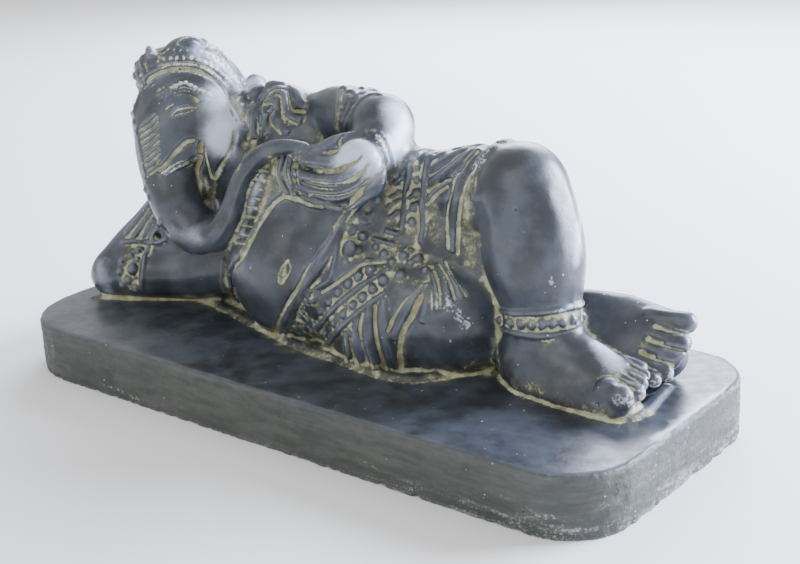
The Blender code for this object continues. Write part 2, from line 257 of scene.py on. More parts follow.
def joined(items):
    deselectAll()
    for item in items:
        item.select_set(True)
    bpy.context.view_layer.objects.active = items[0]
    bpy.ops.object.join()
    return items[0]


def fused(item, voxel, smoothing):
    applyModifier(item, "REMESH", mode="VOXEL", voxel_size=voxel * step, use_smooth_shade=True)
    if smoothing:
        applyModifier(item, "SMOOTH", factor=0.5, iterations=smoothing)


def edgeEnds(mesh):
    ends = np.empty(len(mesh.edges) * 2, dtype=np.int64)
    mesh.edges.foreach_get("vertices", ends)
    return ends.reshape(-1, 2)


def vertexRows(mesh, key):
    rows = np.empty(len(mesh.vertices) * 3)
    mesh.vertices.foreach_get(key, rows)
    return rows.reshape(-1, 3)


def keepOuterShell(item):
    # pockets that the forms enclose are solid in the cast
    ends = edgeEnds(item.data)
    label = np.arange(len(item.data.vertices))
    while True:
        lower = label.copy()
        np.minimum.at(lower, ends[:, 0], label[ends[:, 1]])
        np.minimum.at(lower, ends[:, 1], label[ends[:, 0]])
        lower = lower[lower]
        if np.array_equal(lower, label):
            break
        label = lower
    kept = np.bincount(label).argmax()
    work = bmesh.new()
    work.from_mesh(item.data)
    bmesh.ops.delete(work, geom=[vert for vert in work.verts if label[vert.index] != kept], context="VERTS")
    work.to_mesh(item.data)
    work.free()


def skinOf(item):
    bpy.context.view_layer.update()
    return BVHTree.FromObject(item, bpy.context.evaluated_depsgraph_get())


# Body

# A ball is its centre and radii, and a turn in degrees where it has one.
# A limb is a list of places along it: x, y, height, radius.
bodyForms = {
    "belly": ((-40, 8, 38), (50, 47, 50)),
    "waist": ((-2, 14, 70), (46, 38, 42)),
    "lowerBelly": ((0, 4, 40), (46, 40, 46)),
    "ribs": ((-78, 20, 66), (38, 36, 44)),
    "back": ((-30, 34, 60), (70, 34, 52)),
    "lowerHip": ((32, 5, 22), (54, 43, 42)),
    "upperHip": ((22, 26, 50), (56, 42, 50)),
    "shoulderBlade": ((-52, 24, 108), (34, 22, 26)),
    "chest": ((-46, 4, 82), (36, 27, 33)),
    "neck": ((-112, 18, 84), (28, 26, 28)),
    "underNeck": ((-140, 14, 62), (30, 20, 34)),
    "besideNeck": ((-88, 22, 116), (18, 14, 26)),
    "shoulder": ((-64, 22, 128), (22, 16, 17)),
    "underHand": ((-20, -2, 98), (28, 17, 17)),
    "underElbow": ((38, 14, 104), (20, 15, 14)),
    "atThigh": ((66, 12, 66), (22, 18, 22)),
    "underKnee": ((86, 20, 58), (36, 22, 44)),
    "insideElbow": ((-152, -2, 40), (22, 14, 18)),
    "underRibs": [(-136, 30, 6, 17), (-112, 25, 6, 17), (-86, 16, 6, 17)],
    "leftUpperArm": [(-46, 32, 122, 16.5), (-17, 24, 130, 17), (22, 12, 128, 18.5)],
    "leftElbow": ((22.5, 11, 127.5), (18, 19.5, 19.5)),
    "leftForearm": [(24, 11, 127, 17.5), (28, -4, 119, 16), (28, -16, 112, 13)],
    "leftWrist": ((20, -17, 109), (32, 12, 18), (0, 0, -13)),
    "rightUpperArm": [(-90, 20, 30, 26), (-131, 4, 20, 20), (-163, -12, 17, 17.5), (-192, -20, 14, 17)],
    "rightForearm": [(-192, -20, 17, 15), (-186, -6, 32, 14), (-172, 4, 48, 14), (-160, 10, 62, 15)],
    "lyingThigh": [(22, 16, 36, 44), (50, 4, 30, 38), (76, 3, 26, 33)],
    "lyingShin": [(76, 5, 25, 34), (100, 24, 22, 26), (124, 36, 20, 22)],
    "raisedThigh": [(40, 26, 84, 24), (70, 22, 94, 24.5), (112, 12, 102, 26)],
    "raisedShin": [(116, 10, 103, 26), (122, 9, 86, 27.5), (126, 8, 63, 28), (130, 7, 40, 22),
                   (130, 6, 16, 22)],
    "nearFoot": [(125, 4, 12, 20), (150, 0, 12, 18), (176, -2, 7, 14), (186, -6, 5, 10)],
    "nearFootSide": [(132, -6, 4, 13), (156, -10, 2, 12), (186, -14, 4, 9.5)],
    "nearInstep": [(150, 2, 20, 15), (168, 3, 18, 10.5), (184, 3, 16, 7)],
    "farFootTop": [(138, 39, 37, 7), (166, 41, 36, 6.5), (190, 43, 34, 6)],
    "farSole": ((160, 31, 25), (46, 24, 10), (44, 0, 0)),
    "farFootLow": [(136, 22, 16, 12), (164, 22, 14, 10), (186, 22, 13, 8)],
    "farFootBack": [(130, 42, 18, 19), (160, 42, 16, 18), (184, 42, 14, 14)],
    "skull": ((-137, 7, 116), (33, 36, 38)),
    "face": ((-131, -10, 110), (25, 24, 33)),
    "ear": ((-106, 4, 116), (13, 15, 26)),
    "jaw": [(-122, -10, 100, 13), (-113, -14, 84, 12)],
    "trunk": [(-143, -12, 128, 13), (-137, -18, 118, 14), (-130, -23, 104, 16), (-117, -28, 85, 17),
              (-108, -30, 68, 15.5), (-92, -31, 58, 13.5), (-76, -31, 64, 9.5)],
    "earFront": [(-104, -5, 87, 3.5), (-105, -4, 98, 8), (-104, -2, 112, 12)],
    "earBack": [(-101, -3, 88, 3.5), (-96, 0, 98, 7), (-95, 4, 114, 10)],
    "crownBase": ((-138, 14, 144), (36, 34, 20), (-8, 8, 0)),
    "crownDome": ((-132, 10, 156), (24, 21, 12)),
    "crownTop": ((-131, 8, 164), (14, 13, 8)),
}


def formed(forms):
    made = []
    for form in forms.values():
        made += limb(form) if isinstance(form, list) else ball(*form)
    return made


# Relief: lines of pixels laid on the body

def onSkin(skin, x, y, sink=0.0):
    # where the sight line of a pixel meets the body or, past its outline, the place nearest to that line
    spot, normal = skin.ray_cast(eye, sightLine(x, y))[:2]
    if spot is None:
        tries = [skin.find_nearest(sideSpot(x, y, depth)) for depth in range(-50, 60, 5)]
        spot, normal = min(tries, key=lambda found: found[3])[:2]
    return inSteps(spot - normal * sink * step)


def sideSpot(x, y, depth):
    # the point on a pixel's sight line where y is a number of steps
    line = sightLine(x, y)
    return eye + line * ((depth * step - eye.y) / line.y)


def laidLine(skin, pixels, sink=0.0, perSpan=6):
    # rows of (x, y, height, size) on the body under a line of (pixel x, pixel y, size)
    made = []
    for row in smoothLine(pixels, perSpan):
        made.append((*onSkin(skin, row[0], row[1], sink), row[2]))
    return np.array(made)


def sized(pixels, size):
    return [(x, y, size) for x, y in pixels]


def unbroken(rows, gap=9):
    # the runs of rows that follow on from one another
    runs = [[]]
    for row in rows:
        if row is None or (runs[-1] and math.dist(row[:3], runs[-1][-1][:3]) > gap):
            runs.append([])
        if row is not None:
            runs[-1].append(row)
    return [np.array(run) for run in runs if len(run) > 2]


def tubes(rows, gap=9):
    # a line breaks where the body drops away behind it
    return [("tube", run) for run in unbroken(rows, gap)]


def roll(skin, pixels, size, sink=0.0, taper=0.6):
    # a raised roll under a line of pixels, tapered at both ends
    rows = laidLine(skin, sized(pixels, size), sink)
    rows[0, 3] *= taper
    rows[-1, 3] *= taper
    return tubes(rows)


def beads(skin, pixels, count, firstSize, lastSize=None, sink=0.0):
    made = []
    lastSize = firstSize if lastSize is None else lastSize
    for k, (x, y) in enumerate(evenly(smoothLine(pixels), count)):
        made += ball(onSkin(skin, x, y, sink), firstSize + (lastSize - firstSize) * k / max(1, count - 1))
    return made


def castIn(skin, axis, outward, size, reach, farthest):
    # the place on the body under a point that is cast straight in towards an axis
    spot, normal = skin.ray_cast(placed(axis) + outward * reach * step, -outward)[:2]
    if spot is None or normal.dot(outward) < 0 or (spot - placed(axis)).length > farthest * step:
        return None
    return (*inSteps(spot), size)


def roundBack(skin, axis, lastPixel, firstPixel, size, dip=0.0, count=30, farthest=46):
    # a line cast inwards, from the end of a row of pixels round the back to the row's start
    ends = [onSkin(skin, *pixel[:2]) for pixel in (lastPixel, firstPixel)]
    fromAngle, toAngle = (math.degrees(math.atan2(x - axis[0], axis[1] - y)) for x, y, height in ends)
    made = []
    for share in np.linspace(0, 1, count):
        turn = math.radians(fromAngle + ((toAngle - fromAngle) % 360) * share)
        height = ends[0][2] + (ends[1][2] - ends[0][2]) * share - dip * math.sin(math.pi * share)
        outward = Vector((math.sin(turn), -math.cos(turn), 0))
        made.append(castIn(skin, (*axis, height), outward, size, farthest + 4, farthest))
    return unbroken(made)


def overBack(skin, axis, fromAngle, toAngle, size, farthest=72):
    # a line over the top and down the back at one x: angle 0 looks up, 90 along +Y
    made = []
    for angle in np.linspace(fromAngle, toAngle, 24):
        turn = math.radians(angle)
        outward = Vector((0, math.sin(turn), math.cos(turn)))
        made.append(castIn(skin, axis, outward, size, 95, farthest))
    return unbroken(made)


def scroll(skin, centre, radius, turns, start, size=1.3):
    # a spiral of pixels that winds inwards
    line = []
    for share in np.linspace(0, 1, int(10 * turns) + 2):
        angle = math.radians(start) + share * turns * 2 * math.pi
        reach = radius * (1 - 0.75 * share)
        line.append((centre[0] + reach * math.cos(angle), centre[1] + reach * math.sin(angle)))
    return roll(skin, line, size)


def detailed(skin, work):
    # the carving of a dictionary. Its last entries say what each group of its rows makes:
    # rolls with a size and a sink, strips that hold their own sizes, beads, single studs and scrolls
    made = []
    for name, (size, sink) in work.get("rolls", {}).items():
        for line in work[name]:
            made += roll(skin, line, size, sink)
    for name, sink in work.get("strips", {}).items():
        for line in work[name]:
            made += tubes(laidLine(skin, line, sink))
    for name, settings in work.get("beads", {}).items():
        for line in work[name]:
            made += beads(skin, line, **settings)
    for name, share in work.get("studs", {}).items():
        for x, y, size in work[name]:
            made += ball(onSkin(skin, x, y, share * size), size)
    for turned in work.get("scrolls", []):
        made += scroll(skin, *turned)
    return made


# Each row of the crown: its size, its beads in front if it is of beads, and its places round the back
crownWork = {
    "rim": [(134, 113), (137, 104), (142, 92), (151, 82), (163, 75.5), (176, 72.5), (190, 73),
        (201, 75.5), (213, 82), (223, 91), (231, 104), (238, 115), (244, 125)],
    "roll": [(143, 80), (151, 73), (160, 69), (170, 65.5), (180, 64), (190, 64.5), (200, 67), (211, 74),
        (221, 83), (230, 94), (237, 105), (243, 115)],
    "beadRow": [(159, 63), (165, 61), (172, 60), (182, 59), (190, 59), (199, 61.5), (207, 65.5),
        (214, 70), (220, 75), (227, 81.5), (232, 89), (238, 98), (243, 106)],
    "upperRoll": [(152, 58), (159, 55.7), (170, 55), (188, 55), (203, 55.7), (213, 60.7), (223, 68),
        (232, 78), (240, 90)],
    "upperBeads": [(163, 51), (172, 51), (180, 51.5), (190, 52), (199, 52.5), (207, 55), (215, 58),
        (223, 64), (231, 72), (237, 82)],
    "rows": {
        "rim": (1.5, None, 30),
        "roll": (2.0, None, 30),
        "beadRow": (2.5, 17, 26),
        "upperRoll": (1.2, None, 30),
        "upperBeads": (1.9, 15, 28),
    },
    "sideFlower": [(240.5, 94, 2.6), (246, 90, 2.0), (236, 78, 2.0), (245, 80, 2.2), (248, 86, 2.0)],
    "jewelCentre": (193, 44),
    "jewelSize": (4.5, 4.0, 3.0),
    "jewelRing": (14.725, 5.89, 1.3),
    "dotRows": [[(213, 44), (219, 55), (226, 67)], [(218, 47), (223, 59), (229, 72)],
                [(223, 50), (227, 63), (232, 77)], [(228, 53), (231, 67), (235, 82)]],
    "spikeFoot": (152, 60),
    "spikeTip": (150, 50),
    "spikeDepth": -6,
    "discs": [(152, 55, 3.4, 3.4), (145, 62, 4.2, 5.0), (153, 67, 2.6, 2.6)],
    "lobes": [(139, 74), (145, 76), (137, 86)],
    "scrollCentre": (240.5, 85),
    "bulge": (256, 82),
    "axis": (-138, 12),
    "backDip": 9,
}


def crown(skin):
    work = crownWork
    made = []
    for name, (size, count, backCount) in work["rows"].items():
        made += beads(skin, work[name], count, size) if count else roll(skin, work[name], size)
    for name, (size, count, backCount) in work["rows"].items():
        line = work[name]
        for run in roundBack(skin, work["axis"], line[-1], line[0], size, work["backDip"], backCount):
            made += sum((ball(row[:3], size) for row in run), []) if count else tubes(run)
    # the oval jewel over the brow, in its ring
    x, y = work["jewelCentre"]
    across, down, size = work["jewelRing"]
    around = [(x + across * math.cos(angle), y + down * math.sin(angle))
              for angle in np.linspace(0, 2 * math.pi, 17)]
    made += roll(skin, around, size)
    made += ball(onSkin(skin, x, y, 1.5), work["jewelSize"])
    # fine dots over the right of the dome
    for line in work["dotRows"]:
        made += beads(skin, line, 5, 1.2)
    # the spike, discs and lobes of the left side
    foot = onSkin(skin, *work["spikeFoot"])
    tip = inSteps(sideSpot(*work["spikeTip"], work["spikeDepth"]))
    made += limb([(*foot, 5), (*tip, 3)])
    for x, y, size, height in work["discs"]:
        made += ball(onSkin(skin, x, y), (size, size, height))
    for x, y in work["lobes"]:
        made += ball(onSkin(skin, x, y, 0.6), (1.8, 1.8, 4.0))
    # the flower over the ear and the smooth bulge behind it
    for x, y, size in work["sideFlower"]:
        made += ball(onSkin(skin, x, y, 0.4), size)
    made += scroll(skin, work["scrollCentre"], 5.5, 1.1, 0)
    made += ball(onSkin(skin, *work["bulge"], -1.5), (7, 6, 6))
    return made


faceWork = {
    "browArch": [[(159, 95.5), (166, 91), (175, 86.5), (184, 82.5), (192, 86), (200, 90.5), (208, 95)]],
    "browLower": [[(166, 97), (174, 93), (184, 90.5), (193, 92.5), (201, 97), (207, 100)]],
    "ribLeft": [(138.5, 127.5), (146.5, 174)],
    "ribRight": [(157, 113), (160.5, 163)],
    "ribCount": 9,
    "ribSize": 1.5,
    "ribWaver": 1.6,
    "ribWaves": 11,
    "trunkBumps": [(135.5, 105), (135, 113), (134.5, 122), (136.5, 131), (138.5, 139), (140, 147),
        (141.5, 155), (143.5, 163), (145, 171), (146, 180), (145.5, 190), (149, 198)],
    "lids": [
        [(169, 117), (176, 109), (187, 106), (197, 106)],
        [(170, 118), (179, 115.5), (189, 112.5), (197, 107)],
    ],
    "tusk": [[(199, 150, 4.2), (188, 158, 4.2), (176, 166, 3.4), (162, 175, 1.6)]],
    "lip": [[(199, 145, 2.6), (188, 150, 2.6), (176, 160, 2.2), (164, 170, 1.4)]],
    "bumpSize": (2.6, 2.6, 2.2),
    "beads": {"browArch": {"count": 12, "firstSize": 1.9}, "browLower": {"count": 10, "firstSize": 1.5}},
    "rolls": {"lids": (0.9, 0)},
    "strips": {"tusk": 0.8, "lip": 0.8},
}


def ribs(drop):
    # the ribs across the trunk: how far along it each lies, its left end, its middle and its right end
    made = []
    for share in np.linspace(0, 1, faceWork["ribCount"]):
        (x, y), (farX, farY) = (
            [a + (b - a) * share for a, b in zip(*faceWork[side])] for side in ("ribLeft", "ribRight")
        )
        middle = ((x + farX) / 2 - 1, (y + farY) / 2 + drop + 1.5)
        made.append((share, (x, y + drop), middle, (farX, farY + drop)))
    return made


def face(skin):
    work = faceWork
    made = detailed(skin, work)
    for share, left, middle, right in ribs(0):
        reach = work["ribWaver"] * math.sin(work["ribWaves"] * share)
        ends = (left[0] + 1, left[1] + 2), (right[0] + reach, right[1] - reach)
        made += roll(skin, [ends[0], middle, ends[1]], work["ribSize"])
    for x, y in work["trunkBumps"]:
        made += ball(onSkin(skin, x, y, 1.0), work["bumpSize"])
    return made


handForms = {
    "trunkTip": [(-78, -32, 60, 10.5), (-69, -32, 67, 8.5), (-63, -29, 80, 7), (-56, -26, 97, 6.3),
                 (-47, -22, 108, 5.8), (-36, -20, 115, 5.2), (-23, -18, 117.5, 4.4), (-11, -18, 118, 3.2)],
    "firstFinger": [(-18, -18, 112, 3.6), (4, -24, 113, 4.4), (24, -29, 116, 4.6), (36, -26, 122, 3)],
    "secondFinger": [(-18, -20, 103, 3.4), (6, -27, 103.5, 4), (26, -31, 107, 4.4), (40, -27, 115, 3)],
    "thirdFinger": [(-16, -20, 96, 3), (9, -27, 96, 3.6), (28, -31, 99, 4), (42, -26, 108, 2.8)],
    "fourthFinger": [(-12, -20, 90, 2.6), (12, -26, 90, 3.2), (30, -29, 93, 3.6), (44, -24, 101, 2.6)],
    "thumb": [(-9, -18, 117, 3), (4, -22, 120, 3.6), (14, -20, 124, 4.2), (24, -13, 127, 3.6)],
    "bowlRim": [(-38, -12, 112, 2.4), (-39, -17, 101, 2.4), (-34, -18, 89, 2.4)],
    "bowlMiddle": [(-31, -13, 114, 1.8), (-32, -19, 102, 1.8), (-27, -19, 90, 1.8)],
    "bowlBase": [(-24, -14, 115, 2.2), (-25, -20, 104, 2.2), (-20, -20, 91, 2.2)],
    "backOfHand": ((31, -21, 115), (15, 11, 13), (0, -14, -10)),
}


hairWork = {
    "locks": [
        [(249, 99, 3.0), (257, 90, 4.2), (270, 85, 4.2), (285, 84, 3.0)],
        [(255, 104, 4.4), (253.5, 120, 5.0), (255, 138, 4.0)],
        [(266, 112, 4.2), (265, 123, 4.8), (267.5, 136, 3.8)],
        [(261, 101, 3.0), (270, 99, 4.0), (276.5, 104, 4.6), (276, 115, 4.4), (280, 126, 4.2),
         (289, 134, 3.2)],
        [(268, 92, 3.2), (279, 90.5, 4.2), (286, 97, 4.8), (286, 108, 4.8), (291, 117, 4.4), (302, 121, 3.4)],
        [(289, 86, 3.2), (295, 93, 4.4), (298, 102, 4.4), (307, 107, 3.2)],
    ],
    "backLock": [(-152, 137, 3.2), (-148, 125, 4.6), (-153, 112, 4.8), (-148, 99, 3.6)],
    "backLocks": 7,
    "backPitch": 10,
    "backSink": 1.6,
    "strips": {"locks": 1.4},
}


def hair(skin):
    made = detailed(skin, hairWork)
    # plainer locks down the back of the head, cast in from behind
    for k in range(hairWork["backLocks"]):
        rows = []
        for x, height, size in smoothLine(hairWork["backLock"]):
            start = placed((x + hairWork["backPitch"] * k, 100, height))
            spot = skin.ray_cast(start, Vector((0, -1, 0)))[0]
            sunk = Vector((0, hairWork["backSink"] * step, 0))
            rows.append(None if spot is None else (*inSteps(spot - sunk), size))
        made += tubes(rows)
    return made


armWork = {
    "leftRims": [
        [(340, 88), (338.5, 103), (337, 115), (336, 126)],
        [(344, 128), (351, 114), (361, 100.5), (371, 94.5), (382, 94.5)],
        [(341.6, 123.5), (347.7, 110), (357.4, 97), (368, 90), (378, 90.5)],
    ],
    "scrolls": [((351.5, 96), 8.5, 1.6, 0)],
    "leftStuds": [(340, 119, 2.0), (343, 108, 1.8), (362, 88.5, 1.8), (343.5, 88, 2.2), (371, 87, 1.6)],
    "wristRims": [
        [(366, 130), (371, 140.5), (377, 150), (380, 161)],
        [(379, 131), (386, 141), (391, 152), (394, 163)],
    ],
    "wristStuds": [[(373, 132), (379, 142), (384, 152), (387, 162)]],
    "rightBar": [[(151, 245), (145.5, 256), (143, 269), (142, 281), (142, 291)]],
    "rightFlowers": [(139.5, 251.5, 3.8), (131, 257, 3.0), (123.4, 262, 3.8), (121, 271, 3.0),
        (133, 269, 4.2), (128.5, 280, 3.2), (123, 285, 2.4), (136, 287, 3.4), (137, 260, 2.4)],
    "rightStrands": [
        [(148, 206), (137, 222), (125, 234)],
        [(152, 211), (143, 225), (133, 238)],
        [(157, 215), (149, 227), (144, 239)],
        [(162, 220), (156, 231), (153, 239)],
    ],
    "rightRidge": [[(120, 243), (132, 241.5), (147, 242), (160, 241.5), (170, 236)]],
    "rolls": {
        "leftRims": (1.3, 0),
        "wristRims": (1.3, 0),
        "rightBar": (1.7, 0),
        "rightStrands": (2.2, 0),
        "rightRidge": (1.7, 0),
    },
    "studs": {"leftStuds": 0, "rightFlowers": 0},
    "beads": {"wristStuds": {"count": 7, "firstSize": 1.9}},
}


bandWork = {
    "band": [[(263, 168, 3.4), (257, 184, 4.4), (251, 202, 4.8), (246, 218, 4.6), (240, 236, 3.6)]],
    "borders": [
        [(283, 152.5), (270, 156.5), (259.5, 165.5), (251.5, 176.5), (244.5, 187.5), (236.5, 200), (233, 215),
         (230, 230), (225, 254)],
        [(278, 158), (266, 164.5), (257, 176), (250, 189), (243.5, 203.5), (238, 225), (233, 246)],
    ],
    "strap": [
        [(224, 258), (222, 272), (223, 284), (226, 293)],
        [(231, 264), (230, 278), (231.5, 288)],
    ],
    "notchEdge": [(267, 172), (263, 186), (257, 208), (250, 230), (244, 244)],
    "notches": 9,
    "strips": {"band": 1.6},
    "rolls": {"borders": (1.1, 0), "strap": (1.5, 0)},
}


clothWork = {
    "border": [[(386, 169, 1.8), (376, 177, 2.0), (363.5, 190, 2.2), (350, 207, 2.6), (341, 222, 3.2),
        (332, 240, 4.2), (321, 260, 5.4), (311, 277, 4.6), (302, 293, 3.0), (293, 308, 2.2),
        (285, 322, 2.0), (279, 334, 1.6)]],
    "innerLine": [[(384, 178), (378, 192), (366.5, 204.5), (353, 218), (343, 231), (338, 244),
        (334, 264), (329, 279), (318, 287), (305, 295), (297, 306), (293, 319), (284, 331)]],
    "scrolls": [((365, 217.5), 6.0, 1.5, 0), ((311, 297), 8.5, 1.5, 90), ((351, 230), 5.0, 1.2, 180)],
    "studRows": [
        [(301, 316), (292, 328), (283, 341)],
        [(309, 319), (300, 331), (291, 345)],
        [(316, 324), (308, 336), (300, 348)],
    ],
    "domes": [(378, 199, 2.4), (372.5, 214, 2.0), (362.5, 236.5, 3.0), (349, 252, 3.4),
        (357.5, 250, 3.4), (368, 262, 2.8), (345, 262, 2.4), (303, 312, 2.2), (311, 324, 2.2),
        (305, 334, 2.4), (320, 312, 2.2), (297, 329, 2.0), (384, 254, 2.8), (376, 247, 2.4)],
    "oval": (349, 250),
    "belts": [
        [(411, 161), (409, 175), (406, 191), (404, 213), (401, 233)],
        [(429, 158), (424.5, 180), (422.6, 202), (423.5, 224), (420, 244)],
    ],
    "lozenges": [(416.5, 169, 2.4), (417, 180, 2.8), (416, 193, 3.2), (414, 207, 3.2), (412, 222, 3.2)],
    "slants": [
        [(394, 184), (404, 176)],
        [(390, 198), (402, 190)],
        [(388, 207), (402, 198)],
        [(389, 219), (401, 210)],
        [(385, 230), (400, 235)],
        [(373, 239), (397, 245.5)],
        [(409, 199), (420, 188)],
        [(407, 214), (419, 202)],
    ],
    "pleats": [
        [(430, 161), (445, 153), (464, 146.5), (487, 143)],
        [(430, 169), (447, 158), (466, 149), (483, 145)],
        [(429, 183), (446, 172), (462, 160), (476, 148)],
        [(429, 198), (437, 189), (449, 181), (460, 171)],
    ],
    "hem": [[(479, 148, 2.0), (468, 163, 2.4), (460, 179, 2.6), (456, 202, 2.8), (454, 224, 2.8),
        (453, 252, 2.2)]],
    "legHem": [[(502, 141, 3.0), (489.5, 152.5, 3.4), (480, 163, 3.4), (474.5, 175, 3.0),
        (473, 188, 2.2), (473.5, 200, 1.6)]],
    "knot": [(404, 256, 3.6), (418, 259, 3.8), (411, 263, 2.8), (400.5, 276, 3.8), (425.5, 271, 3.2),
        (392, 262, 2.6), (411, 251, 2.4)],
    "bars": [
        [(391, 268), (372, 280), (357, 289.5), (341.5, 302), (326, 318.5), (306.5, 343)],
        [(385, 293), (363, 309), (344.5, 324.5), (332, 338.5), (322, 353)],
    ],
    "barBeads": [[(383.5, 280.5), (367, 294.5), (355, 304), (344.5, 314), (335.5, 323), (328, 331),
        (318, 344.5)]],
    "upperBeads": [[(371, 270.5), (355.5, 279), (343, 288.5), (332, 299), (322, 311), (313, 323)]],
    "folds": [
        [(369, 306, 2.6), (368, 328, 4.2), (371, 350, 4.6), (380, 374, 3.6)],
        [(357, 318, 2.4), (355.5, 337, 3.6), (360, 352, 4.0), (366, 370, 3.2)],
        [(384, 299, 2.6), (384, 322, 4.4), (388, 346, 4.8), (396, 375, 3.6)],
        [(346, 332, 2.2), (347.5, 349, 3.2), (352, 364, 2.8)],
        [(424, 284, 2.2), (412, 300, 3.2), (403, 316, 3.8), (394, 338, 4.0)],
        [(428, 283, 2.0), (427, 302, 3.0), (422, 322, 2.6)],
        [(432, 270, 1.8), (436, 288, 2.8), (437, 310, 2.4)],
        [(437, 264, 1.8), (444.5, 282, 2.8), (449, 306, 2.2)],
        [(442, 261, 1.8), (452, 277, 2.6), (462, 298, 2.0)],
    ],
    "strips": {"border": 1.4, "hem": 0.4, "legHem": 0.6, "folds": 1.0},
    "rolls": {
        "innerLine": (1.2, 0),
        "belts": (2.0, 0.2),
        "slants": (1.5, 0),
        "pleats": (1.9, 0.3),
        "bars": (1.8, 0),
    },
    "studs": {"domes": 0.3, "lozenges": 0.3, "knot": 0.3},
    "beads": {
        "barBeads": {"count": 8, "firstSize": 3.6, "lastSize": 2.0, "sink": 0.4},
        "upperBeads": {"count": 7, "firstSize": 3.8, "lastSize": 2.2, "sink": 0.8},
        "studRows": {"count": 5, "firstSize": 2.2, "lastSize": 1.7},
    },
    "backAxis": (15, 55),
    "backEnd": 118,
    "backSizes": {"belts": 2.0, "legHem": 2.8},
}


def cloth(skin):
    work = clothWork
    made = detailed(skin, work)
    made += ball(onSkin(skin, *work["oval"]), (4.4, 3.4, 6.4), (0, 25, 0))
    # the belts and the leg's hem run on over the back, plainer
    y0, z0 = work["backAxis"]
    for name, size in work["backSizes"].items():
        for line in work[name]:
            x, y, height = onSkin(skin, *line[0][:2])
            fromAngle = math.degrees(math.atan2(y - y0, height - z0))
            made += tubes(overBack(skin, (x, y0, z0), fromAngle, work["backEnd"], size)[0])
    return made


sills = {
    "thigh": [(268, 331, 4), (303, 347, 6), (341.5, 360, 6.5), (387.5, 376, 7), (418, 379, 7), (456, 372, 6),
              (479, 363, 5), (500, 376, 5)],
    "arm": [(93, 297, 4), (123, 298, 4), (150, 298, 4.5), (183, 296, 4.5), (200, 298, 6), (216, 303, 6),
            (232, 311, 6), (250, 322, 5), (270, 332, 4)],
    "foot": [(512, 382, 4), (546, 395, 4.5), (574, 407, 5), (602, 416, 5.5), (626, 418, 6.5), (643, 411, 7),
             (655, 399, 6), (668, 386, 5)],
}


def onTop(x, y, size):
    # where the sight line of a pixel meets the plinth's top
    line = sightLine(x, y)
    spot = eye + line * ((plinthTop - eye.z) / line.z)
    x, y, height = inSteps(spot)
    return (x, y, height - 0.6 * size, size)


def contactSills():
    # the low uneven fillet that the mould left where the figure meets the plinth
    return [("tube", np.array([onTop(*row) for row in smoothLine(sill)])) for sill in sills.values()]


ankletWork = {
    "rims": [
        [(500, 310), (509, 312.5), (520, 313.5), (539, 313), (560, 310), (573, 307.5), (582, 304.5)],
        [(500, 327), (509, 331.5), (520, 334.5), (539, 336.5), (560, 334.5), (573, 331.5), (582, 327.5)],
    ],
    "studRow": [[(501, 320), (520, 323.5), (540, 324), (560, 322), (573, 319.5), (582, 316)]],
    "rolls": {"rims": (1.5, 0)},
    "beads": {"studRow": {"count": 9, "firstSize": 3.1, "sink": 0.4}},
    "axis": (131, 7),
    "backCount": 20,
    "farthest": 30,
}


def anklet(skin):
    work = ankletWork
    made = detailed(skin, work)
    # the rims and studs go on round the back of the shin
    for name, size in (("rims", 1.5), ("studRow", 3.1)):
        for line in work[name]:
            for run in roundBack(skin, work["axis"], line[-1], line[0], size, 0, work["backCount"],
                                 work["farthest"]):
                if name == "rims":
                    made += tubes(run)
                else:
                    for row in evenly(run, max(2, len(run) // 2)):
                        made += ball(row[:3], size)
    return made


toeForms = {
    "nearFirst": [(182, -11, 9, 9.5), (190, -14.5, 10.5, 7.4)],
    "nearSecond": [(172, -4, 13, 5), (184, -6.5, 13.5, 4.4), (196, -8.5, 12.5, 4.4)],
    "nearThird": [(172, 0, 15.5, 4.6), (184, -1.5, 16, 4.2), (195, -3, 15, 4)],
    "nearFourth": [(171, 5.5, 17.5, 4.4), (183, 4.5, 18, 3.8), (193, 3.5, 17, 3.7)],
    "nearFifth": [(170, 10.5, 19, 4), (180, 10, 19.5, 3.5), (189, 9, 18.5, 3.4)],
    "farFirst": [(178, 37, 35, 6.2), (188, 39, 35, 5.6), (197, 41.5, 34.5, 6.0)],
    "farSecond": [(178, 31, 27.5, 5.8), (188, 33, 27, 5.0), (198, 35.5, 25.5, 5.4)],
    "farThird": [(178, 24, 20.5, 5.6), (187, 26, 20, 4.8), (195.5, 28.5, 18, 5.4)],
    "farFourth": [(180, 17, 15, 5.0), (188, 19, 14, 4.0), (196, 22, 12, 4.4)],
    "farFifth": [(184, 12, 14, 3.8), (193, 14, 11, 4.4)],
}


# Grooves pressed into the fine mesh: a line of pixels, half width and depth in steps

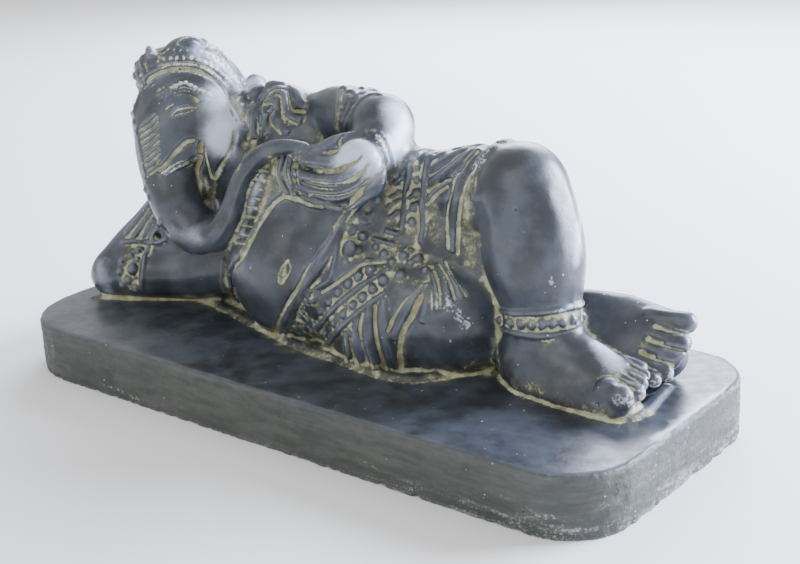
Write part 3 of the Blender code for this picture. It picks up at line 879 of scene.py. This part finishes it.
grooves = {
    "crown": [
        ([(143, 88), (151, 78), (163, 72), (176, 69), (190, 69), (200, 72), (210, 77), (220, 85), (228, 95),
          (236, 108), (242, 120)], 1.3, 1.6),
        ([(158, 66), (170, 62.5), (182, 61.6), (192, 62), (203, 64.5), (213, 71), (224, 80.5)], 0.7, 0.9),
    ],
    "face": [
        ([(159, 170), (166, 163), (173, 154.5), (181, 146.5), (187, 141.5), (193, 140)], 1.3, 2.2),
        ([(163, 175), (176, 166), (188, 162), (196, 161)], 0.8, 1.2),
        ([(201, 143), (200.5, 158), (198, 168), (199.5, 178), (202, 190), (204, 200)], 1.5, 2.6),
        ([(205, 148), (206, 158), (209, 168), (212, 178)], 0.9, 1.4),
        ([(215, 178), (221, 165.5), (228, 155), (233, 145), (235.5, 133)], 1.4, 2.2),
        ([(171, 115), (177, 110), (187, 107.5), (196, 107)], 1.0, 1.0),
        ([(172, 116), (180, 113.5), (189, 111.5), (196, 108)], 0.9, 0.9),
        ([(166, 109), (169, 106), (173, 104)], 0.8, 0.6),
    ],
    "hair": [
        ([(260.5, 106.5), (264, 99), (274, 94.5), (280, 97), (281, 104), (282, 115), (288, 121), (296, 124)],
         0.9, 2.0),
        ([(262, 105), (270, 104), (272.5, 108), (270, 117.5), (274, 128), (280, 133)], 0.9, 2.0),
        ([(283.5, 88), (288, 92), (289.5, 102), (293, 110), (304, 111.5)], 0.9, 2.0),
        ([(260.5, 109), (260.5, 123.5), (260.5, 136)], 0.9, 1.9),
        ([(264, 97), (274, 89.5), (283.5, 88)], 0.8, 1.5),
        ([(248, 117), (249.5, 127), (248.5, 138)], 0.9, 2.0),
    ],
    "hand": [
        ([(302, 165), (314, 167), (327, 170.5), (338, 170.5), (346.5, 166), (355, 162), (361, 156)],
         1.1, 2.0),
        ([(303, 181.5), (320, 184), (338, 185), (351, 180.5), (362, 173), (368, 165)], 1.1, 2.0),
        ([(308, 195), (326, 196), (341.5, 195), (356, 190), (368, 179.5)], 1.0, 1.6),
        ([(329, 153), (338, 148), (339.5, 140.5), (342, 135.5)], 1.2, 1.8),
        ([(289, 160), (287.5, 172), (290, 184)], 0.9, 1.4),
        ([(298, 156), (296, 170), (298, 186)], 0.9, 1.4),
    ],
    "chest": [
        ([(283, 197), (273, 204), (264, 216), (257, 227), (250, 240), (242, 256), (233, 268), (233, 280),
          (236, 296), (243, 308)], 1.8, 2.2),
        ([(283, 197), (296, 199.5), (310, 205), (327, 208), (341, 209)], 1.6, 1.6),
        ([(288, 261), (290, 268), (287, 276), (280, 284), (278, 277), (281, 268), (288, 261)], 1.2, 0.5),
        ([(284, 271), (283.5, 273), (283, 275)], 1.0, 1.4),
    ],
    "cloth": [
        ([(388, 162), (379, 173), (368, 184), (352, 201.5), (338, 219.5), (327.5, 238.5), (314, 257),
          (305, 272), (296, 289), (287, 305), (278.5, 321), (275, 334)], 1.5, 2.0),
        ([(430, 175), (448, 162), (462, 152), (476, 146)], 1.0, 1.6),
        ([(428, 191), (442, 182), (458, 172), (467, 161), (478, 150)], 1.0, 1.6),
        ([(427, 205), (437, 194), (447, 187)], 1.0, 1.6),
        ([(463, 165), (455, 178), (451, 191), (447.5, 206), (446.5, 224), (448, 248)], 1.0, 1.5),
        ([(473, 167), (465, 185), (461, 202), (458.5, 224), (457.5, 254)], 1.0, 1.5),
        ([(385, 262), (363, 264), (351, 272.5), (334, 285), (322, 293)], 0.9, 1.2),
        ([(363, 315), (360, 328), (363, 343), (372, 368)], 0.9, 1.6),
        ([(375, 306), (375, 325), (378, 346), (386, 370)], 0.9, 1.6),
        ([(351, 330), (351, 345), (357, 365)], 0.9, 1.5),
        ([(344, 340), (346, 362)], 0.9, 1.4),
        ([(421, 285), (407, 298), (397, 312), (387.5, 331)], 0.9, 1.5),
        ([(420, 297), (412, 317), (403, 332), (400, 352), (402, 366)], 1.5, 2.0),
        ([(434, 271), (439, 288), (440, 305)], 0.7, 1.3),
        ([(439, 264), (448.5, 280), (455, 299)], 0.7, 1.3),
        ([(445, 262), (456, 279), (466, 296)], 0.7, 1.2),
    ],
    "feet": [
        ([(620, 381), (634, 389)], 1.0, 1.8),
        ([(625, 371), (641, 381)], 1.0, 1.8),
        ([(630, 365), (648, 375)], 1.0, 1.6),
        ([(656, 325), (662, 327), (670, 329)], 2.4, 2.0),
        ([(648, 338), (654, 341), (661, 343)], 2.4, 2.0),
        ([(641, 352), (647, 355), (653, 357)], 2.2, 2.0),
    ],
}

darkGrooves = [
    ([(666, 329), (676, 331), (691, 335)], 0.9, 2.4),
    ([(658, 343), (669, 347), (686, 351)], 0.9, 2.4),
    ([(650, 357), (659, 361), (674, 366)], 0.9, 2.4),
]

# pits: pixel x, pixel y, size and depth; each is pressed in and painted near-black inside as painted shade
pits = [(165.5, 232, 2.4, 4.0), (157, 236, 2.2, 3.5), (140.7, 251.5, 1.2, 1.6),
        (123.5, 262, 1.2, 1.4), (597.3, 405, 0.9, 2.0), (515, 210, 0.8, 1.0), (250, 268, 0.7, 1.2),
        (179.5, 68.5, 0.7, 1.0), (384, 139, 0.7, 1.0)]


def pitLines():
    # each pit as a very short line of pixels
    return [([(x - 0.3, y), (x, y), (x + 0.3, y)], size, depth) for x, y, size, depth in pits]


def ribGrooves():
    return [([left, middle, right], 0.8, 1.4) for share, left, middle, right in ribs(3)]


def bandNotches():
    lines = []
    for x, y in evenly(smoothLine(bandWork["notchEdge"]), bandWork["notches"]):
        lines.append(([(x, y), (x - 4, y - 0.5), (x - 8, y - 1)], 0.8, 1.5))
    return lines


# Where the stone's looks change beyond the grooves: lines of pixels, half width in steps, strength.
# Dirt and lime lie in the hollows, a pale bluish painted highlight lies on the swells and along the plinth's
# top edge, and the trunk's ribs, the hair and the knuckles stayed dark. The lime over the elbow and the
# crown's right side is partly painted highlight.

dirtWashes = [
    ([(133, 250), (127, 268), (129, 290)], 8, 0.75),
    ([(150, 210), (140, 225), (133, 240)], 5, 0.5),
    ([(300, 128), (303, 138)], 6, 0.45),
    ([(234, 256), (234, 265)], 2.5, 1.0),
    ([(205, 185), (208, 204)], 5, 1.4),
    ([(160, 168), (175, 154), (190, 142)], 2.5, 0.8),
    ([(470, 178), (467, 205), (467, 230), (470, 262)], 6, 1.3),
    ([(395, 180), (392, 215), (390, 245)], 11, 0.62),
    ([(417, 165), (414, 200), (410, 240)], 6, 0.7),
    ([(435, 190), (434, 225), (436, 250)], 7, 0.9),
    ([(442, 236), (456, 250)], 8, 0.6),
    ([(366, 205), (350, 235), (362, 262), (385, 262)], 11, 0.6),
    ([(405, 262), (372, 290), (340, 318), (310, 345)], 13, 0.5),
    ([(412, 252), (425, 262), (432, 272)], 9, 0.75),
    ([(398, 285), (412, 282), (425, 282)], 6, 0.7),
    ([(318, 290), (300, 312), (288, 338)], 9, 0.6),
    ([(414, 296), (404, 330), (402, 362)], 3, 0.9),
    ([(418, 285), (430, 300)], 5, 0.6),
    ([(335, 345), (335, 352)], 3, 0.9),
    ([(484, 272), (494, 292), (500, 318), (498, 345), (500, 372)], 4, 0.75),
    ([(502, 319), (524, 322), (549, 322), (583, 314)], 3.5, 0.8),
    ([(268, 335), (303, 349), (341, 361), (387, 377), (418, 380), (456, 373), (479, 364), (502, 378)],
     5, 0.95),
    ([(88, 297), (123, 298), (150, 298), (183, 296), (200, 299), (230, 312), (250, 323), (268, 332)],
     4, 0.85),
    ([(512, 383), (546, 394), (574, 406), (602, 416), (630, 418), (650, 410)], 4, 0.8),
    ([(612, 372), (630, 384), (644, 396)], 6, 0.5),
    ([(655, 322), (648, 340), (642, 356)], 6, 0.6),
    ([(340, 90), (338, 110), (335, 128)], 3.5, 1.0),
    ([(300, 165), (330, 172), (355, 168)], 6, 0.35),
    ([(293, 158), (288, 172), (291, 187)], 5, 0.5),
    ([(224, 262), (226, 285), (234, 307)], 5, 1.0),
    ([(274, 168), (268, 190), (262, 208), (252, 232), (240, 254)], 3.5, 1.35),
    ([(285, 264), (283, 272), (281, 280)], 3, 1.5),
    ([(262, 144), (250, 152), (240, 165), (232, 180)], 4, 1.0),
    ([(203, 180), (208, 194), (212, 204)], 5, 1.6),
    ([(272, 158), (280, 174), (278, 190), (292, 193)], 5, 1.0),
    ([(304, 112), (306, 128), (312, 138)], 6, 0.8),
    ([(268, 90), (276, 108), (288, 124)], 12, 0.4),
    ([(160, 90), (184, 84), (206, 92)], 3, 0.35),
]

# lime in the hollows, on the contact lines and on the plinth; the entries over the elbow and the crown's
# right side are partly painted highlight in lime colour
limeAndSheenWashes = [
    ([(447, 304), (457, 312), (466, 322)], 7, 0.8),
    ([(440, 330), (475, 345)], 8, 0.45),
    ([(600, 345), (612, 358), (618, 368)], 5, 0.75),
    ([(620, 400), (645, 398), (655, 385)], 6, 0.7),
    ([(660, 385), (672, 375)], 5, 0.7),
    ([(378, 140), (383, 152), (385, 163)], 4, 0.8),
    ([(338, 165), (358, 152)], 5, 0.6),
    # partly painted highlight on the elbow
    ([(398, 112), (404, 125), (396, 148)], 9, 0.3),
    ([(150, 50), (165, 56), (195, 58), (225, 70)], 8, 0.6),
    ([(178, 43), (193, 37), (208, 45)], 4, 0.55),
    # partly painted highlight on the crown's right side
    ([(205, 50), (228, 75), (242, 100)], 8, 0.65),
    ([(170, 88), (184, 83), (204, 92)], 4, 0.8),
    ([(162, 174), (180, 164), (196, 160)], 2.5, 0.8),
    ([(217, 176), (228, 156), (235, 138)], 2.5, 0.8),
    ([(475, 170), (490, 152), (500, 143)], 4, 0.8),
    ([(418, 382), (456, 376), (482, 366)], 5, 0.6),
    ([(560, 310), (584, 302), (590, 330)], 4, 0.6),
    ([(200, 280), (203, 286)], 3, 0.6),
    ([(550, 280), (555, 286)], 2, 1.0),
    ([(100, 383), (120, 391), (140, 401)], 3, 0.6),
    ([(155, 411), (182, 420), (212, 430)], 3.5, 0.65),
    ([(186, 358), (200, 368), (230, 350)], 5, 0.4),
]

# painted highlight: pale bluish colour laid on the cheek, the back of the hand, the elbow, the knee's right
# edge, the crown's right side, the bulge by the ear and the plinth's top edge
paintedSheenWashes = [
    ([(219, 97), (226, 115), (220, 140)], 11, 1.1),
    ([(347, 152), (358, 150), (367, 160)], 10, 1.1),
    ([(398, 112), (403, 128), (395, 150)], 11, 0.9),
    ([(600, 345), (610, 357), (617, 367)], 6, 0.9),
    ([(579, 180), (580, 220), (577, 262)], 4, 0.6),
    ([(654, 440), (690, 414), (724, 389)], 1.8, 0.85),
    ([(180, 230), (196, 236)], 8, 0.35),
    ([(250, 86), (258, 82)], 5, 1.1),
    ([(262, 174), (255, 192), (249, 214), (243, 236)], 2.5, 0.4),
    ([(101, 264), (103, 278), (108, 290)], 7, 0.5),
    ([(200, 52), (222, 68), (236, 90)], 8, 0.6),
]

darkZones = [
    ([(149, 122), (154, 165)], 8, 0.4),
    ([(262, 96), (272, 118), (285, 125)], 16, 0.25),
    ([(298, 96), (300, 112)], 8, 0.4),
    ([(325, 150), (355, 150), (362, 175)], 10, 0.4),
]


def nearPath(points, skin, pixels, halfWidth):
    # the vertices round a line of pixels laid on the mesh, and how close each is, 0 to 1
    path = np.array([placed(row[:3]) for row in laidLine(skin, sized(pixels, 0), perSpan=12)])
    reach = 3 * halfWidth * step
    near = np.where(np.all((points > path.min(0) - reach) & (points < path.max(0) + reach), axis=1))[0]
    gap = distanceToPath(points[near], path) / (halfWidth * step)
    return near, np.exp(-1.1 * gap ** 2)


def carved(item, skin):
    # presses the grooves and pits in, and returns how close each vertex is to one, 0 to 1
    points, normals = vertexRows(item.data, "co"), vertexRows(item.data, "normal")
    closeness = np.zeros(len(points))
    shift = np.zeros(len(points))
    dirty = [line for group in grooves.values() for line in group] + bandNotches()
    for lines, dirt in ((dirty, 1.0), (ribGrooves(), 0.7), (darkGrooves + pitLines(), 0.0)):
        for pixels, halfWidth, depth in lines:
            near, pressed = nearPath(points, skin, pixels, halfWidth)
            shift[near] = np.maximum(shift[near], pressed * depth)
            closeness[near] = np.maximum(closeness[near], pressed * dirt)
    points -= normals * (shift * step)[:, None]
    setPoints(item, points)
    return closeness


def spread(item, skin, washes):
    points = vertexRows(item.data, "co")
    amount = np.zeros(len(points))
    for pixels, halfWidth, strength in washes:
        near, close = nearPath(points, skin, pixels, halfWidth)
        amount[near] = np.maximum(amount[near], strength * close)
    return amount


def setPoints(item, points):
    item.data.vertices.foreach_set("co", points.ravel())
    item.data.update()


def noiseAt(points, size):
    # smooth noise, -1 to 1, with features of a size in steps
    return np.array([noise.noise(Vector(point)) for point in points / (size * step)])


def weathered(item):
    # the casting's uneven skin, the plinth's rough sides and its ragged lower edge
    points, normals = vertexRows(item.data, "co"), vertexRows(item.data, "normal")
    sizes = slabSizes
    points += normals * (noiseAt(points, skinWaves["length"]) * skinWaves["depth"] * step)[:, None]
    side = (points[:, 2] < plinthTop * 1.01) & (np.abs(normals[:, 2]) < 0.75)
    lumps = noiseAt(points[side] * (1, 1, 2.2), sizes["lumpSize"])
    rough = lumps + 0.5 * noiseAt(points[side], sizes["grainSize"])
    wave = sizes["waviness"] * noiseAt(points[side] * (1, 1, 0.2), sizes["waveLength"])
    points[side] += normals[side] * ((rough * sizes["sideRoughness"] + wave) * step)[:, None]
    rim = points[:, 2] < sizes["raggedHeight"] * step
    edge = np.where(rim & side | rim & nearRim(points))[0]
    flat = points[edge] * (1, 1, 0)
    chips = noiseAt(flat, sizes["chipSize"]) + 0.35 * noiseAt(flat, sizes["chipFineSize"])
    ragged = np.clip(chips + 0.1, 0, 1)
    fade = 1 - points[edge, 2] / (sizes["raggedHeight"] * step)
    inward = -normals[edge] * (1, 1, 0)
    points[edge] += inward * (ragged * fade * sizes["raggedEdge"] * step)[:, None]
    points[edge, 2] += ragged * fade ** 2 * sizes["raggedEdge"] * step
    # nothing grows past the plinth's own box
    half = (sizes["length"] / 2 * step, sizes["width"] / 2 * step)
    for axis in (0, 1):
        points[:, axis] = np.clip(points[:, axis], -half[axis], half[axis])
    points[:, 2] = np.maximum(points[:, 2], 0)
    setPoints(item, points)
    return side.astype(float)


def nearRim(points):
    # within a few steps of the plinth's straight outer faces
    half = (slabSizes["length"] / 2 - 3, slabSizes["width"] / 2 - 3)
    return (np.abs(points[:, 0]) > half[0] * step) | (np.abs(points[:, 1]) > half[1] * step)


def distanceToPath(points, path):
    best = np.full(len(points), np.inf)
    for a, b in zip(path[:-1], path[1:]):
        along = b - a
        share = np.clip(((points - a) @ along) / max(along @ along, 1e-12), 0, 1)
        best = np.minimum(best, np.linalg.norm(points - a - share[:, None] * along, axis=1))
    return best


def neighbourMean(values, ends, count):
    # the mean of each vertex's neighbours, for one column of numbers
    total = np.bincount(ends[:, 0], weights=values[ends[:, 1]], minlength=len(values))
    total += np.bincount(ends[:, 1], weights=values[ends[:, 0]], minlength=len(values))
    return total / count


def hollowness(item, rounds):
    # how far below the smoothed surface each vertex lies, in steps: hollows are above zero, edges below
    ends = edgeEnds(item.data)
    points, normals = vertexRows(item.data, "co"), vertexRows(item.data, "normal")
    count = np.maximum(np.bincount(ends.ravel(), minlength=len(points)), 1)
    smooth = points.copy()
    found = []
    done = 0
    for target in rounds:
        while done < target:
            mean = np.stack([neighbourMean(smooth[:, k], ends, count) for k in range(3)], axis=1)
            smooth = 0.35 * smooth + 0.65 * mean
            done += 1
        found.append(np.einsum("ij,ij->i", smooth - points, normals) / step)
    return found


def addFigure():
    body = modelled(formed(bodyForms), nodeName + "_cast")
    fused(body, figure["bodyVoxel"], figure["bodySmoothing"])
    print("body fused", len(body.data.polygons))
    skin = skinOf(body)
    relief = crown(skin) + face(skin) + formed(handForms) + hair(skin) + detailed(skin, armWork)
    relief += detailed(skin, bandWork) + cloth(skin) + anklet(skin) + formed(toeForms) + contactSills()
    whole = joined([body, modelled(relief, "relief"), slab()])
    fused(whole, figure["fineVoxel"], figure["fineSmoothing"])
    keepOuterShell(whole)
    print("relief fused", len(whole.data.polygons))
    skin = skinOf(whole)
    pitMarks = [(pixels, size, 1.0) for pixels, size, depth in pitLines()]
    marks = {}
    # these marks hold dirt, lime that partly stands in for highlights, the painted highlight, the dirt-free
    # zones and the pits, whose insides get painted shade
    for name, washes in (("dirtWash", dirtWashes), ("limeAndSheenWash", limeAndSheenWashes), ("paintedSheenWash", paintedSheenWashes),
                         ("darkZone", darkZones), ("pit", pitMarks)):
        marks[name] = spread(whole, skin, washes)
    marks["groove"] = carved(whole, skin)
    print("grooves pressed")
    marks["fineHollow"], marks["midHollow"], marks["broadHollow"] = hollowness(whole, figure["hollowRounds"])
    marks["plinthSide"] = weathered(whole)
    print("surface weathered")
    points = vertexRows(whole.data, "co")
    applyModifier(whole, "DECIMATE", ratio=figure["triangles"] / (2 * len(whole.data.polygons)))
    marks = carriedOver(points, marks, whole)
    for name, values in marks.items():
        attribute = whole.data.attributes.new(name, "FLOAT", "POINT")
        attribute.data.foreach_set("value", values.astype(np.float32))
    return whole


def carriedOver(points, marks, item):
    # marks of the dense mesh at the places of the thinned one
    tree = KDTree(len(points))
    for index, point in enumerate(points):
        tree.insert(point, index)
    tree.balance()
    nearest = np.array([tree.find(vert.co)[1] for vert in item.data.vertices])
    return {name: values[nearest] for name, values in marks.items()}


def bevelEdges(item, chosen, offset, segments):
    # bevels the edges whose two ends pass the test
    item.data.vertices.foreach_set("select", [False] * len(item.data.vertices))
    item.data.polygons.foreach_set("select", [False] * len(item.data.polygons))
    for edge in item.data.edges:
        edge.select = chosen(*(item.data.vertices[index].co for index in edge.vertices))
    activate(item)
    bpy.context.tool_settings.mesh_select_mode = (False, True, False)
    bpy.ops.object.mode_set(mode="EDIT")
    bpy.ops.mesh.bevel(offset=offset, segments=segments, affect="EDGES")
    bpy.ops.object.mode_set(mode="OBJECT")


def slab():
    sizes = {key: value * step for key, value in slabSizes.items()}
    bpy.ops.mesh.primitive_cube_add(size=1, location=(0, 0, sizes["height"] / 2))
    item = bpy.context.active_object
    item.name = "slab"
    item.scale = (sizes["length"], sizes["width"], sizes["height"])
    activate(item)
    bpy.ops.object.transform_apply(location=True, rotation=True, scale=True)
    middle = sizes["length"] * 0.49
    for sign, corner in ((-1, "headCorner"), (1, "footCorner")):
        bevelEdges(item, lambda a, b: min(sign * a.x, sign * b.x) > middle and abs(a.y - b.y) < 0.001,
                   sizes[corner], slabSizes["cornerSegments"])
    top = sizes["height"] * 0.99
    bevelEdges(item, lambda a, b: min(a.z, b.z) > top, sizes["topRound"], slabSizes["topSegments"])
    return item


lights = {
    "world": 1.0,
    "floorSize": 8,
    "aim": (0, 0, 0.08),
    "key": {"from": (140, 16), "distance": 1.6, "size": (0.9, 1.1), "energy": 160, "colour": "#dfe7ff"},
    "rim": {"from": (205, 27), "distance": 1.9, "size": (1.3, 0.8), "energy": 58, "colour": "#e2e9ff"},
    "fill": {"from": (0, 38), "distance": 2.0, "size": (1.2, 1.2), "energy": 9, "colour": "#f6f6ff"},
}


def addStage():
    bpy.ops.mesh.primitive_plane_add(size=lights["floorSize"])
    floor = bpy.context.active_object
    floor.name = "pale_floor"
    floor.data.materials.append(floorMaterial())
    world = bpy.data.worlds.new("studio")
    bpy.context.scene.world = world
    world.use_nodes = True
    world.node_tree.nodes["Background"].inputs["Color"].default_value = (1, 1, 1, 1)
    world.node_tree.nodes["Background"].inputs["Strength"].default_value = lights["world"]
    for name in ("key", "rim", "fill"):
        light = lights[name]
        data = bpy.data.lights.new(name, "AREA")
        data.energy = light["energy"]
        data.color = linear(light["colour"])[:3]
        data.shape = "RECTANGLE"
        data.size, data.size_y = light["size"]
        holder = bpy.data.objects.new(name, data)
        bpy.context.scene.collection.objects.link(holder)
        away = direction(*light["from"])
        holder.location = Vector(lights["aim"]) + away * light["distance"]
        holder.rotation_euler = away.to_track_quat("Z", "Y").to_euler()


def linear(code):
    # an sRGB hex colour as linear values
    channels = [int(code[k:k + 2], 16) / 255 for k in (1, 3, 5)]
    return (*[c / 12.92 if c <= 0.04045 else ((c + 0.055) / 1.055) ** 2.4 for c in channels], 1.0)


def floorMaterial():
    material = bpy.data.materials.new("pale paper")
    material.use_nodes = True
    shader = material.node_tree.nodes["Principled BSDF"]
    shader.inputs["Base Color"].default_value = linear("#fbfbfb")
    shader.inputs["Roughness"].default_value = 0.9
    return material


def addNode(tree, kind, links=None, **settings):
    # adds a node, sets its properties, and sets or joins its inputs
    node = tree.nodes.new(kind)
    for key, value in settings.items():
        setattr(node, key, value)
    for key, value in (links or {}).items():
        if isinstance(value, bpy.types.NodeSocket):
            tree.links.new(value, node.inputs[key])
        else:
            node.inputs[key].default_value = value
    return node


# sizes and spacings in millimetres
stone = {
    "base": "#292d33",
    "baseLight": "#434a54",
    "baseWarm": "#3a3d34",
    "olive": "#5c5c43",
    "deposit": "#97976f",
    "depositLight": "#bcbea2",
    "rust": "#97806a",
    "lime": "#ccd0cf",
    "wax": "#98a1b0",
    # painted highlight: the pale bluish sheen laid as colour on the swells
    "paintedSheen": "#cbd4e8",
    "sideStone": "#494b45",
    "sideDark": "#333630",
    "speck": "#dfe2e6",
    # painted shade: the near-black inside the bubble holes and pits
    "paintedHoleShade": "#181a1b",
    "mottleSize": 22,
    "cloudSize": 7,
    "grainSize": 1.5,
    "streakSize": 9,
    "speckSpacing": 5,
    "bubbleSpacing": 14,
    "specular": 0.62,
    "noiseRoughness": 0.58,
    "dullest": 0.92,
    "bumpStrength": 0.5,
    "bumpDepth": 0.6,
}

# What the mesh tells the material at each of its points
markNames = ("fineHollow", "midHollow", "broadHollow", "groove", "dirtWash", "limeAndSheenWash", "paintedSheenWash",
             "darkZone", "pit", "plinthSide")

# The stone's clouds and grain, and the streaks along the plinth's sides: name, detail, stretch
stoneNoises = [
    ("mottle", 4, (1, 1, 1)),
    ("cloud", 5, (1, 1, 1)),
    ("grain", 3, (1, 1, 1)),
    ("streak", 5, (0.35, 0.35, 2.2)),
]

# Pale grains of grit and bubble holes with painted shade inside, each in its own cell: name, how rare they
# are, reach
stoneDots = [
    ("speck", 0.5, 0.085),
    ("bubble", 0.75, 0.06),
]

# Each mask is a weighted sum of the ones before it, turned to 0 to 1 between two values
# and kept within another mask: name, what it lies within, start of the sum, terms, the two values
stoneMasks = [
    ("worn", None, 0, [("fineHollow", 1)], (-0.05, -0.3)),
    ("filled", None, 0, [("fineHollow", 1)], (0.04, 0.26)),
    ("pressed", None, 0, [("groove", 1)], (0.3, 1.0)),
    ("midFilled", None, 0, [("midHollow", 1)], (0.08, 0.6)),
    ("broadFilled", None, 0, [("broadHollow", 1)], (0.2, 1.4)),
    ("dirt", None, -1.66,
     [("mottle", 0.9), ("filled", 0.55), ("pressed", 0.4), ("midFilled", 0.45), ("broadFilled", 0.35),
      ("dirtWash", 0.6), ("darkZone", -0.6), ("worn", -0.5), ("cloud", 1.3), ("grain", 0.9),
      ("plinthSide", -0.5)], None),
    ("thin", None, 0, [("dirt", 1)], (0.05, 0.5)),
    ("thick", None, 0, [("dirt", 1)], (0.32, 0.95)),
    ("thickPale", "thick", 0, [("cloud", 1)], (0.4, 0.65)),
    ("thickRust", "thick", 0, [("mottle", 1)], (0.55, 0.7)),
    # lime spots, which over the elbow and the crown's right side are partly painted highlight
    ("limeAndSheenSpots", None, -0.9,
     [("limeAndSheenWash", 0.55), ("worn", 0.3), ("cloud", 0.9), ("grain", 0.9)], (0.38, 0.6)),
    # where the painted highlight shows: the sheen washes, broken up by noise and kept off the thin dirt
    ("paintedSheenMask", None, -0.55,
     [("paintedSheenWash", 1.15), ("mottle", 0.5), ("cloud", 0.6), ("thin", -0.3)], (0.1, 1.1)),
    ("mottled", None, 0, [("mottle", 1)], (0.35, 0.65)),
    ("clouded", None, 0, [("cloud", 1)], (0.5, 0.75)),
    ("satin", None, 0, [("cloud", 1)], (0.3, 0.7)),
    ("sideStreak", "plinthSide", 0, [("streak", 1)], (0.35, 0.65)),
    ("lowEdge", None, 0, [("height", 1)], (0.026, 0.0)),
    ("footEnd", None, 0, [("along", 1)], (-0.05, 0.2)),
    ("bloom", "plinthSide", -0.95,
     [("lowEdge", 0.26), ("footEnd", 0.2), ("streak", 1), ("grain", 0.9)], (0.42, 0.72)),
    # where painted shade darkens the bubble holes and the pits
    ("paintedHoleShadeMask", None, 0, [("bubble", 1), ("pit", 1)], (0.35, 0.8)),
    ("chalkGrain", "thick", 0, [("grain", 1)], None),
    ("sideGrain", "plinthSide", 0, [("grain", 1)], None),
    ("dullness", None, 0.28,
     [("satin", 0.12), ("thin", 0.2), ("thick", 0.3), ("limeAndSheenSpots", 0.2), ("plinthSide", 0.3)], None),
    ("relief", None, 0,
     [("grain", 0.3), ("cloud", 0.5), ("bubble", -1.2), ("chalkGrain", 1.4), ("limeAndSheenSpots", 0.3),
      ("sideGrain", 1)], None),
]

# Colours laid over the base, lowest first, with the mask that shows each and how far it covers
stoneLayers = [
    ("baseLight", "mottled", 1.0),
    ("baseWarm", "clouded", 0.4),
    ("sideDark", "plinthSide", 0.85),
    ("sideStone", "sideStreak", 0.85),
    ("wax", "worn", 0.25),
    # the painted highlight over the swells
    ("paintedSheen", "paintedSheenMask", 0.92),
    ("olive", "thin", 0.65),
    ("deposit", "thick", 0.9),
    ("depositLight", "thickPale", 0.9),
    ("rust", "thickRust", 0.4),
    # lime, and over the elbow and the crown's right side partly painted highlight
    ("lime", "limeAndSheenSpots", 0.75),
    ("lime", "bloom", 0.4),
    ("speck", "speck", 1.0),
    # painted shade inside the bubble holes and pits
    ("paintedHoleShade", "paintedHoleShadeMask", 1.0),
]


def stoneMaterial():
    # cast stone, dark and waxed: satin on the swells, matt and chalky where dirt lies in the carving
    material = bpy.data.materials.new("dark waxed cast stone")
    material.use_nodes = True
    tree = material.node_tree
    shader = tree.nodes["Principled BSDF"]
    place = addNode(tree, "ShaderNodeTexCoord").outputs["Object"]
    masks = {}
    for name in markNames:
        masks[name] = addNode(tree, "ShaderNodeAttribute", attribute_name=name).outputs["Fac"]
    parts = addNode(tree, "ShaderNodeSeparateXYZ", {"Vector": place})
    masks["height"], masks["along"] = parts.outputs["Z"], parts.outputs["X"]

    for name, detail, stretch in stoneNoises:
        scaled = addNode(tree, "ShaderNodeMapping", {"Vector": place, "Scale": stretch}).outputs["Vector"]
        settings = {"Vector": scaled, "Scale": 1000 / stone[name + "Size"], "Detail": detail}
        settings["Roughness"] = stone["noiseRoughness"]
        masks[name] = addNode(tree, "ShaderNodeTexNoise", settings).outputs[0]

    for name, rare, reach in stoneDots:
        settings = {"Vector": place, "Scale": 1000 / stone[name + "Spacing"]}
        cells = addNode(tree, "ShaderNodeTexVoronoi", settings)
        chance = addNode(tree, "ShaderNodeSeparateColor", {"Color": cells.outputs["Color"]}).outputs["Red"]
        radius = addNode(tree, "ShaderNodeMapRange", {"Value": chance, "From Min": rare, "To Max": reach})
        masks[name] = addNode(tree, "ShaderNodeMath", {0: radius.outputs[0], 1: cells.outputs["Distance"]},
                              operation="GREATER_THAN").outputs[0]

    for name, within, start, terms, ends in stoneMasks:
        value = start
        for term, weight in terms:
            value = addNode(tree, "ShaderNodeMath", {0: masks[term], 1: weight, 2: value},
                            operation="MULTIPLY_ADD").outputs[0]
        if ends:
            settings = {"Value": value, "From Min": ends[0], "From Max": ends[1]}
            value = addNode(tree, "ShaderNodeMapRange", settings, interpolation_type="SMOOTHSTEP").outputs[0]
        if within:
            settings = {0: value, 1: masks[within]}
            value = addNode(tree, "ShaderNodeMath", settings, operation="MULTIPLY").outputs[0]
        masks[name] = value

    # sockets 6 and 7 of a mix node are its two colours, and output 2 is their mix
    colour = linear(stone["base"])
    for tint, mask, most in stoneLayers:
        share = addNode(tree, "ShaderNodeMath", {0: masks[mask], 1: most},
                        operation="MULTIPLY", use_clamp=True)
        colour = addNode(tree, "ShaderNodeMix", {0: share.outputs[0], 6: colour, 7: linear(stone[tint])},
                         data_type="RGBA").outputs[2]
    tree.links.new(colour, shader.inputs["Base Color"])
    dull = addNode(tree, "ShaderNodeMath", {0: masks["dullness"], 1: stone["dullest"]}, operation="MINIMUM")
    tree.links.new(dull.outputs[0], shader.inputs["Roughness"])
    shader.inputs["Specular IOR Level"].default_value = stone["specular"]
    settings = {"Height": masks["relief"], "Strength": stone["bumpStrength"]}
    settings["Distance"] = stone["bumpDepth"] / 1000
    bump = addNode(tree, "ShaderNodeBump", settings)
    tree.links.new(bump.outputs["Normal"], shader.inputs["Normal"])
    return material


addCamera()
addStage()
print("camera, floor and lights set")
statue = addFigure()
statue.data.shade_smooth()
statue.data.materials.clear()
statue.data.materials.append(stoneMaterial())
print("statue", len(statue.data.polygons), "faces")
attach(statue, "root")
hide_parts(nodeName)
